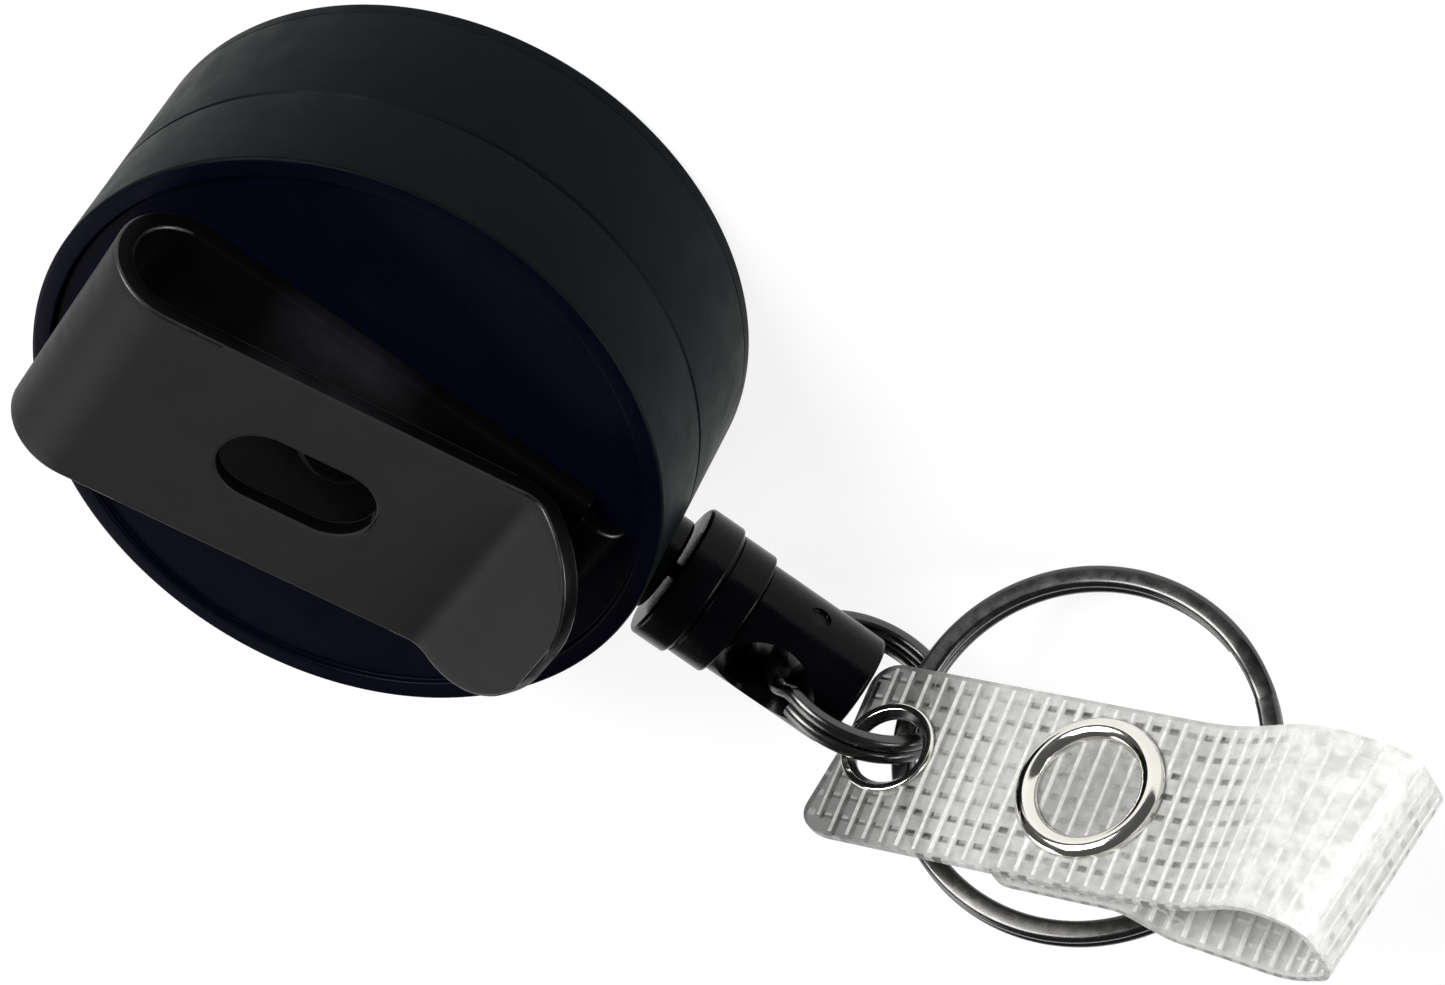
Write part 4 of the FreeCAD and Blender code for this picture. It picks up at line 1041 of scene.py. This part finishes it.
def strap_rows():
    """Corners of the strap's middle line in its own XZ, with their radii."""
    return [
        (-STRAP_MARGIN, 0),
        (SNAP_DISTANCE + 7.4, 0, 10.0),
        (SNAP_DISTANCE + 13.6, 3.0, 5.0),
        (FOLD_END, 1.2, 2.4),
        (FOLD_END, -5.0, 2.2),
        (FOLD_END - 4.6, -6.6, 5.0),
        (SNAP_DISTANCE + 6.1, -4.4, 2.0),
        (SNAP_DISTANCE + 3.7, UNDER_LAYER, 1.5),
        (FLAP_END, UNDER_LAYER),
    ]


class StrapLine:
    """The strap's middle line, asked for by the length along it."""

    def __init__(self):
        self.points = spaced(outline(strap_rows(), closed=False, step=7), 0.25)
        self.lengths = running_lengths(self.points)
        self.total = self.lengths[-1]

    def at(self, length):
        """The point and the unit normal, which points out of the loop, at a length."""
        index = 0
        while index < len(self.lengths) - 2 and self.lengths[index + 1] < length:
            index += 1
        run = self.points[index + 1] - self.points[index]
        share = (length - self.lengths[index]) / run.length
        before = self.points[max(0, index - 1)]
        after = self.points[min(len(self.points) - 1, index + 2)]
        way = (after - before).normalized()
        return self.points[index] + run * share, Vector((-way.y, way.x))


STRAP_LINE = StrapLine()


def strap_spot(length, across, out=0.0):
    """A point in the strap's own frame: length along it, place across it, height out of it."""
    place, normal = STRAP_LINE.at(length)
    spot = place + normal * out
    start = SNAP_DISTANCE + FOLD_LEAN_START
    share = max(0.0, spot.x - start) / (FOLD_REACH - FOLD_LEAN_START)
    lean = (FOLD_SKEW * across + FOLD_SHIFT) * min(1.0, share) ** 2
    return Vector((spot.x + lean, across, spot.y))


def strap_margin(length):
    """How far the strap's edges draw in near its two rounded ends."""
    return drawn_in(min(length, STRAP_LINE.total - length), STRAP_END_CORNER)


def strap_start(across):
    """The length at which the strap starts, which is under 0 where its end slants."""
    share = (STRAP_SLANT_START - across) / (STRAP_SLANT_START - STRAP_EDGE_LOW)
    return -STRAP_END_SLANT * max(0.0, share)


def map_in_millimetres(obj, flat):
    """A UV map from one (length, across) pair for each vertex."""
    uv = obj.data.uv_layers.new(name="UVMap")
    for loop in obj.data.loops:
        uv.data[loop.index].uv = flat[loop.vertex_index]


def strap_film():
    """The vinyl sheet, with its eyelet hole, and a UV map in millimetres."""
    rows = [STRAP_END_CORNER * (1 - math.cos(math.pi / 2 * step / 8)) for step in range(8)]
    middle = STRAP_LINE.total - 2 * STRAP_END_CORNER
    steps = math.ceil(middle / 0.3)
    lengths = rows + [STRAP_END_CORNER + middle * step / steps for step in range(steps + 1)]
    lengths += [STRAP_LINE.total - value for value in rows[::-1]]
    columns = 40
    half = STRAP_THICKNESS / 2
    points, flat = [], []
    for out in (half, -half):
        for length in lengths:
            draw = strap_margin(length)
            low, high = STRAP_EDGE_LOW + draw, STRAP_EDGE_HIGH - draw
            for column in range(columns + 1):
                across = low + (high - low) * column / columns
                spot = length + strap_start(across) * max(0.0, 1 - length / STRAP_MARGIN)
                points.append(strap_spot(spot, across, out))
                flat.append((spot, across - STRAP_EDGE_LOW))
    wide = columns + 1
    layer = len(lengths) * wide
    last_row = layer - wide
    faces = []
    for row in range(0, last_row, wide):
        for here in range(row, row + columns):
            quad = [here, here + 1, here + wide + 1, here + wide]
            faces.append(quad)
            faces.append([layer + quad[corner] for corner in (0, 3, 2, 1)])
        for here in (row, row + columns):
            faces.append([here, here + wide, layer + here + wide, layer + here])
    for row in (0, last_row):
        faces += bridge(range(row, row + wide), range(layer + row, layer + row + wide))
    sheet = mesh_object("strap_film", points, faces, 50.0)
    map_in_millimetres(sheet, flat)
    for polygon in sheet.data.polygons:
        if all(corner >= layer for corner in polygon.vertices):
            polygon.material_index = 1
    radius = EYELET_HOLE_RADIUS + 0.3
    hole = [(0, -1), (radius, -1), (radius, 1), (0, 1)]
    cut_away(sheet, lathe("hole_cutter", hole, 64, closed=False), 50.0)
    blended(sheet)


def thread_fits(length, across):
    """True where a thread may lie: inside the strap's outline and clear of the eyelet's hole."""
    inset = 0.12
    edge = strap_margin(length) + inset
    inside = STRAP_EDGE_LOW + edge < across < STRAP_EDGE_HIGH - edge
    started = length > strap_start(across) + inset
    in_hole = math.hypot(length - STRAP_MARGIN, across) < EYELET_HOLE_RADIUS + 0.5
    return inside and started and length < STRAP_LINE.total - inset and not in_hole


def thread_runs(spots):
    """The runs of a thread's points between the places where it can't lie."""
    runs = [[]]
    for spot in spots:
        if thread_fits(*spot):
            runs[-1].append(spot)
        else:
            runs.append([])
    return [run for run in runs if len(run) > 1]


class Rods:
    """Rods of an oval section that lie in the strap, gathered into one mesh."""

    def __init__(self):
        self.points, self.faces, self.flat = [], [], []

    def add(self, run, depth, width, height, lengthwise):
        """One rod along a run of (length, across) spots, at a height out of the strap's middle."""
        count = 8
        angles = [2 * math.pi * step / count for step in range(count)]
        first = len(self.points)
        for length, across in run:
            place = strap_spot(length, across, depth)
            along = (strap_spot(length + 0.05, across, depth) - place).normalized()
            wide, up = (Y_AXIS if lengthwise else along), along.cross(Y_AXIS)
            for angle in angles:
                aside = wide * (width / 2 * math.cos(angle))
                self.points.append(place + aside + up * (height / 2 * math.sin(angle)))
                self.flat.append((length, across - STRAP_EDGE_LOW))
        self.faces += rod_faces(first, len(run), count)


def strap_threads():
    """Threads across the strap near both of its faces, and finer ones along it."""
    rods = Rods()
    rng = random.Random(7)
    steps = 40
    for index in range(-1, int(STRAP_LINE.total / THREAD_PITCH) + 1):
        length = THREAD_PITCH * (index + THREAD_PHASE)
        lean = rng.uniform(-0.10, 0.10)
        width = THREAD_WIDTH * rng.uniform(0.8, 1.25)
        spots = []
        for step in range(steps + 1):
            share = step / steps
            across = STRAP_EDGE_LOW + (STRAP_EDGE_HIGH - STRAP_EDGE_LOW) * share
            spots.append((length + lean * (share - 0.5), across))
        for run in thread_runs(spots):
            for depth in (THREAD_DEPTH, -THREAD_DEPTH):
                rods.add(run, depth, width, THREAD_HEIGHT, False)
    steps = math.ceil(STRAP_LINE.total / 0.4)
    for index in range(1, int((STRAP_EDGE_HIGH - STRAP_EDGE_LOW) / THREAD_ROW) + 1):
        across = STRAP_EDGE_LOW + THREAD_ROW * (index - DASH_PHASE + 0.5)
        spots = [(STRAP_LINE.total * step / steps, across) for step in range(steps + 1)]
        for run in thread_runs(spots):
            rods.add(run, 0.0, THREAD_WIDTH * 0.6, THREAD_HEIGHT, True)
    threads = mesh_object("strap_threads", rods.points, rods.faces, 60.0)
    map_in_millimetres(threads, rods.flat)
    blended(threads)


def blended(obj):
    """Puts a piece in the strap's place."""
    obj.data.transform(STRAP_FRAME)
    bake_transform(obj)


def eyelet_rim():
    """The eyelet: a bright rim on each face of the strap, and between them a funnel in darker
    metal, painted shade for the hole.
    """
    top = STRAP_FACE + 0.3
    inner = EYELET_HOLE_RADIUS
    rim = lathe("eyelet_rim", [
        (inner, 0),
        (inner, 0.1 - STRAP_FACE),
        (EYELET_RIM_INSIDE, -top, 0.1),
        (EYELET_RADIUS, -top, 0.14),
        (EYELET_RADIUS, -STRAP_FACE),
        (inner + 0.3, -STRAP_FACE),
        (inner + 0.3, STRAP_FACE),
        (EYELET_RADIUS, STRAP_FACE),
        (EYELET_RADIUS, top, 0.14),
        (EYELET_RIM_INSIDE, top, 0.1),
        (inner, STRAP_FACE - 0.1),
    ])
    # painted shade: the funnel in the hole takes the darker gunmetal
    face_material(rim, 1, lambda spot, normal: spot.xy.length < EYELET_RIM_INSIDE)
    rim.data.transform(STRAP_FRAME)


def snap_lathe(name, rows, steps, **options):
    """A turned piece of the snap."""
    lathe(name, rows, steps, base=(SNAP_DISTANCE, 0, 0), **options).data.transform(STRAP_FRAME)


def snap_ring():
    """The bright ring of the snap: a domed crown over a short flat foot."""
    middle = (SNAP_RADIUS + SNAP_HOLE_RADIUS) / 2
    half = (SNAP_RADIUS - SNAP_HOLE_RADIUS) / 2
    rise = SNAP_RING_HEIGHT - SNAP_FOOT
    rows = [(SNAP_HOLE_RADIUS, STRAP_FACE), (SNAP_RADIUS, STRAP_FACE)]
    for angle in (math.pi * index / 24 for index in range(25)):
        height = STRAP_FACE + SNAP_FOOT + rise * math.sin(angle)
        rows.append((middle + half * math.cos(angle), height))
    snap_lathe("snap_ring", rows, 128, sharp=60.0)


def snap_base():
    """The socket under the flat layer."""
    outer = SNAP_RADIUS - 0.6
    neck = STRAP_FACE - 0.1
    snap_lathe("snap_base", [
        (SOCKET_BORE, neck),
        (SOCKET_BORE, -STRAP_FACE - SNAP_DEPTH),
        (outer, -STRAP_FACE - SNAP_DEPTH, 0.2),
        (outer, -STRAP_FACE, 0.1),
        (SOCKET_NECK, -STRAP_FACE),
        (SOCKET_NECK, neck),
    ], 96)


def snap_window():
    """The clear moulding inside the ring, with a raised edge and a slightly domed middle."""
    low = STRAP_FACE + 0.01
    edge = SNAP_HOLE_RADIUS - 0.02
    snap_lathe("snap_window", [
        (0, low),
        (edge, low),
        (edge, low + 0.2, 0.05),
        (SNAP_HOLE_RADIUS - 0.6, low + 0.14, 0.3),
        (0, low + 0.22),
    ], 96, closed=False)


def snap_post():
    """The stud on the under layer, flanged on both of its faces."""
    high = UNDER_LAYER + STRAP_FACE
    low = UNDER_LAYER - STRAP_FACE
    top = high + SNAP_DEPTH
    snap_lathe("snap_post", [
        (0, low - 0.3),
        (STUD_FLANGE, low - 0.3, 0.2),
        (STUD_FLANGE, low),
        (STUD_STEM, low),
        (STUD_STEM, high),
        (STUD_FLANGE, high),
        (STUD_FLANGE, top, 0.1),
        (STUD_STEM, top, 0.1),
        (STUD_STEM, top + 0.9, 0.3),
        (0, top + 0.9),
    ], 80, closed=False)


# ---- stage

CAMERA_PLACE = Vector((-13.08, 188.23, 205.31))
CAMERA_RIGHT = Vector((0.8161, 0.4875, -0.3104))
CAMERA_UP = Vector((-0.5643, 0.5563, -0.6100))
SENSOR_WIDTH = 36.0
FOCAL_PIXELS = 4500.0
FRAME_PIXELS = 1445.0
FLOOR_REACH = 4.0  # metres
FLOOR_DROP = 0.0002
FLOOR_GLOW = 0.82  # as the camera, glossy and clear surfaces see it
LAMP_TARGET = Vector((10, 0, 8))
WORLD_LIGHT = 0.05
WORLD_SEEN = {"Is Camera Ray": 0.93, "Is Transmission Ray": 0.93, "Is Glossy Ray": 0.04}


def camera():
    data = bpy.data.cameras.new("camera")
    data.sensor_width = SENSOR_WIDTH
    data.lens = SENSOR_WIDTH * FOCAL_PIXELS / FRAME_PIXELS
    data.clip_start = 0.01
    data.clip_end = 20
    obj = new_object("camera", data)
    right = CAMERA_RIGHT.normalized()
    back = right.cross(CAMERA_UP).normalized()
    up = back.cross(right)
    turn = Matrix((right, up, back)).transposed().to_4x4()
    obj.matrix_world = shifted(CAMERA_PLACE) @ turn
    bpy.context.scene.camera = obj


def floor():
    mesh = bpy.data.meshes.new("floor")
    corners = ((-1, -1, 0), (1, -1, 0), (1, 1, 0), (-1, 1, 0))
    mesh.from_pydata([Vector(corner) * FLOOR_REACH for corner in corners], [], [(0, 1, 2, 3)])
    plane = new_object("floor", mesh)
    plane.location.z = -FLOOR_DROP
    made = Shader("floor_white", (0.25, 0.25, 0.25), 0.9, specular=0.0)
    rays = made.node("LightPath").outputs
    seen = made.math("MAXIMUM", rays["Is Camera Ray"], rays["Is Glossy Ray"])
    seen = made.math("MAXIMUM", seen, rays["Is Transmission Ray"])
    made.set(Emission_Color=(1, 1, 1, 1), Emission_Strength=made.math("MULTIPLY", seen, FLOOR_GLOW))
    mesh.materials.append(made.material)


def softbox(name, place, size, power):
    """A square area lamp at a place in millimetres, turned to the object."""
    data = bpy.data.lights.new(name, "AREA")
    data.shape = "SQUARE"
    data.size = size * MM
    data.energy = power
    way = LAMP_TARGET - Vector(place)
    turn = way.to_track_quat("-Z", "Y").to_matrix().to_4x4()
    new_object(name, data).matrix_world = shifted(place) @ turn


def lights():
    world = bpy.data.worlds.new("world")
    bpy.context.scene.world = world
    world.use_nodes = True
    tree = world.node_tree
    sky = tree.nodes["Background"]
    path = tree.nodes.new("ShaderNodeLightPath")
    strength = None
    for ray, share in WORLD_SEEN.items():
        step = tree.nodes.new("ShaderNodeMath")
        step.operation = "MULTIPLY_ADD"
        tree.links.new(path.outputs[ray], step.inputs[0])
        step.inputs[1].default_value = share
        step.inputs[2].default_value = WORLD_LIGHT
        if strength:
            tree.links.new(strength, step.inputs[2])
        strength = step.outputs[0]
    tree.links.new(strength, sky.inputs["Strength"])
    sky.inputs["Color"].default_value = (0.96, 0.98, 1.0, 1)
    softbox("main", (-420, 160, 330), 320, 4.0)
    softbox("back", (-150, -430, 260), 300, 1.2)
    softbox("right", (430, 300, 150), 260, 2.6)


# ---- the whole

bpy.context.scene.view_settings.view_transform = "Standard"
camera()
floor()
lights()

for node, key in INNER.items():
    dress(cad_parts[node], key)
for maker in (case_front, case_rear, bush_eye, clip_strip, rivet_head, collar_cap, swivel_sleeve,
              small_ring, large_ring, eyelet_rim, snap_ring, snap_base, snap_window, snap_post,
              cord_run, strap_film, strap_threads):
    maker()
for name, (_, slot, body, nodes) in PIECES.items():
    piece = bpy.data.objects[name]
    if body:
        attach(piece, body)
    if nodes:
        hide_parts(*nodes)
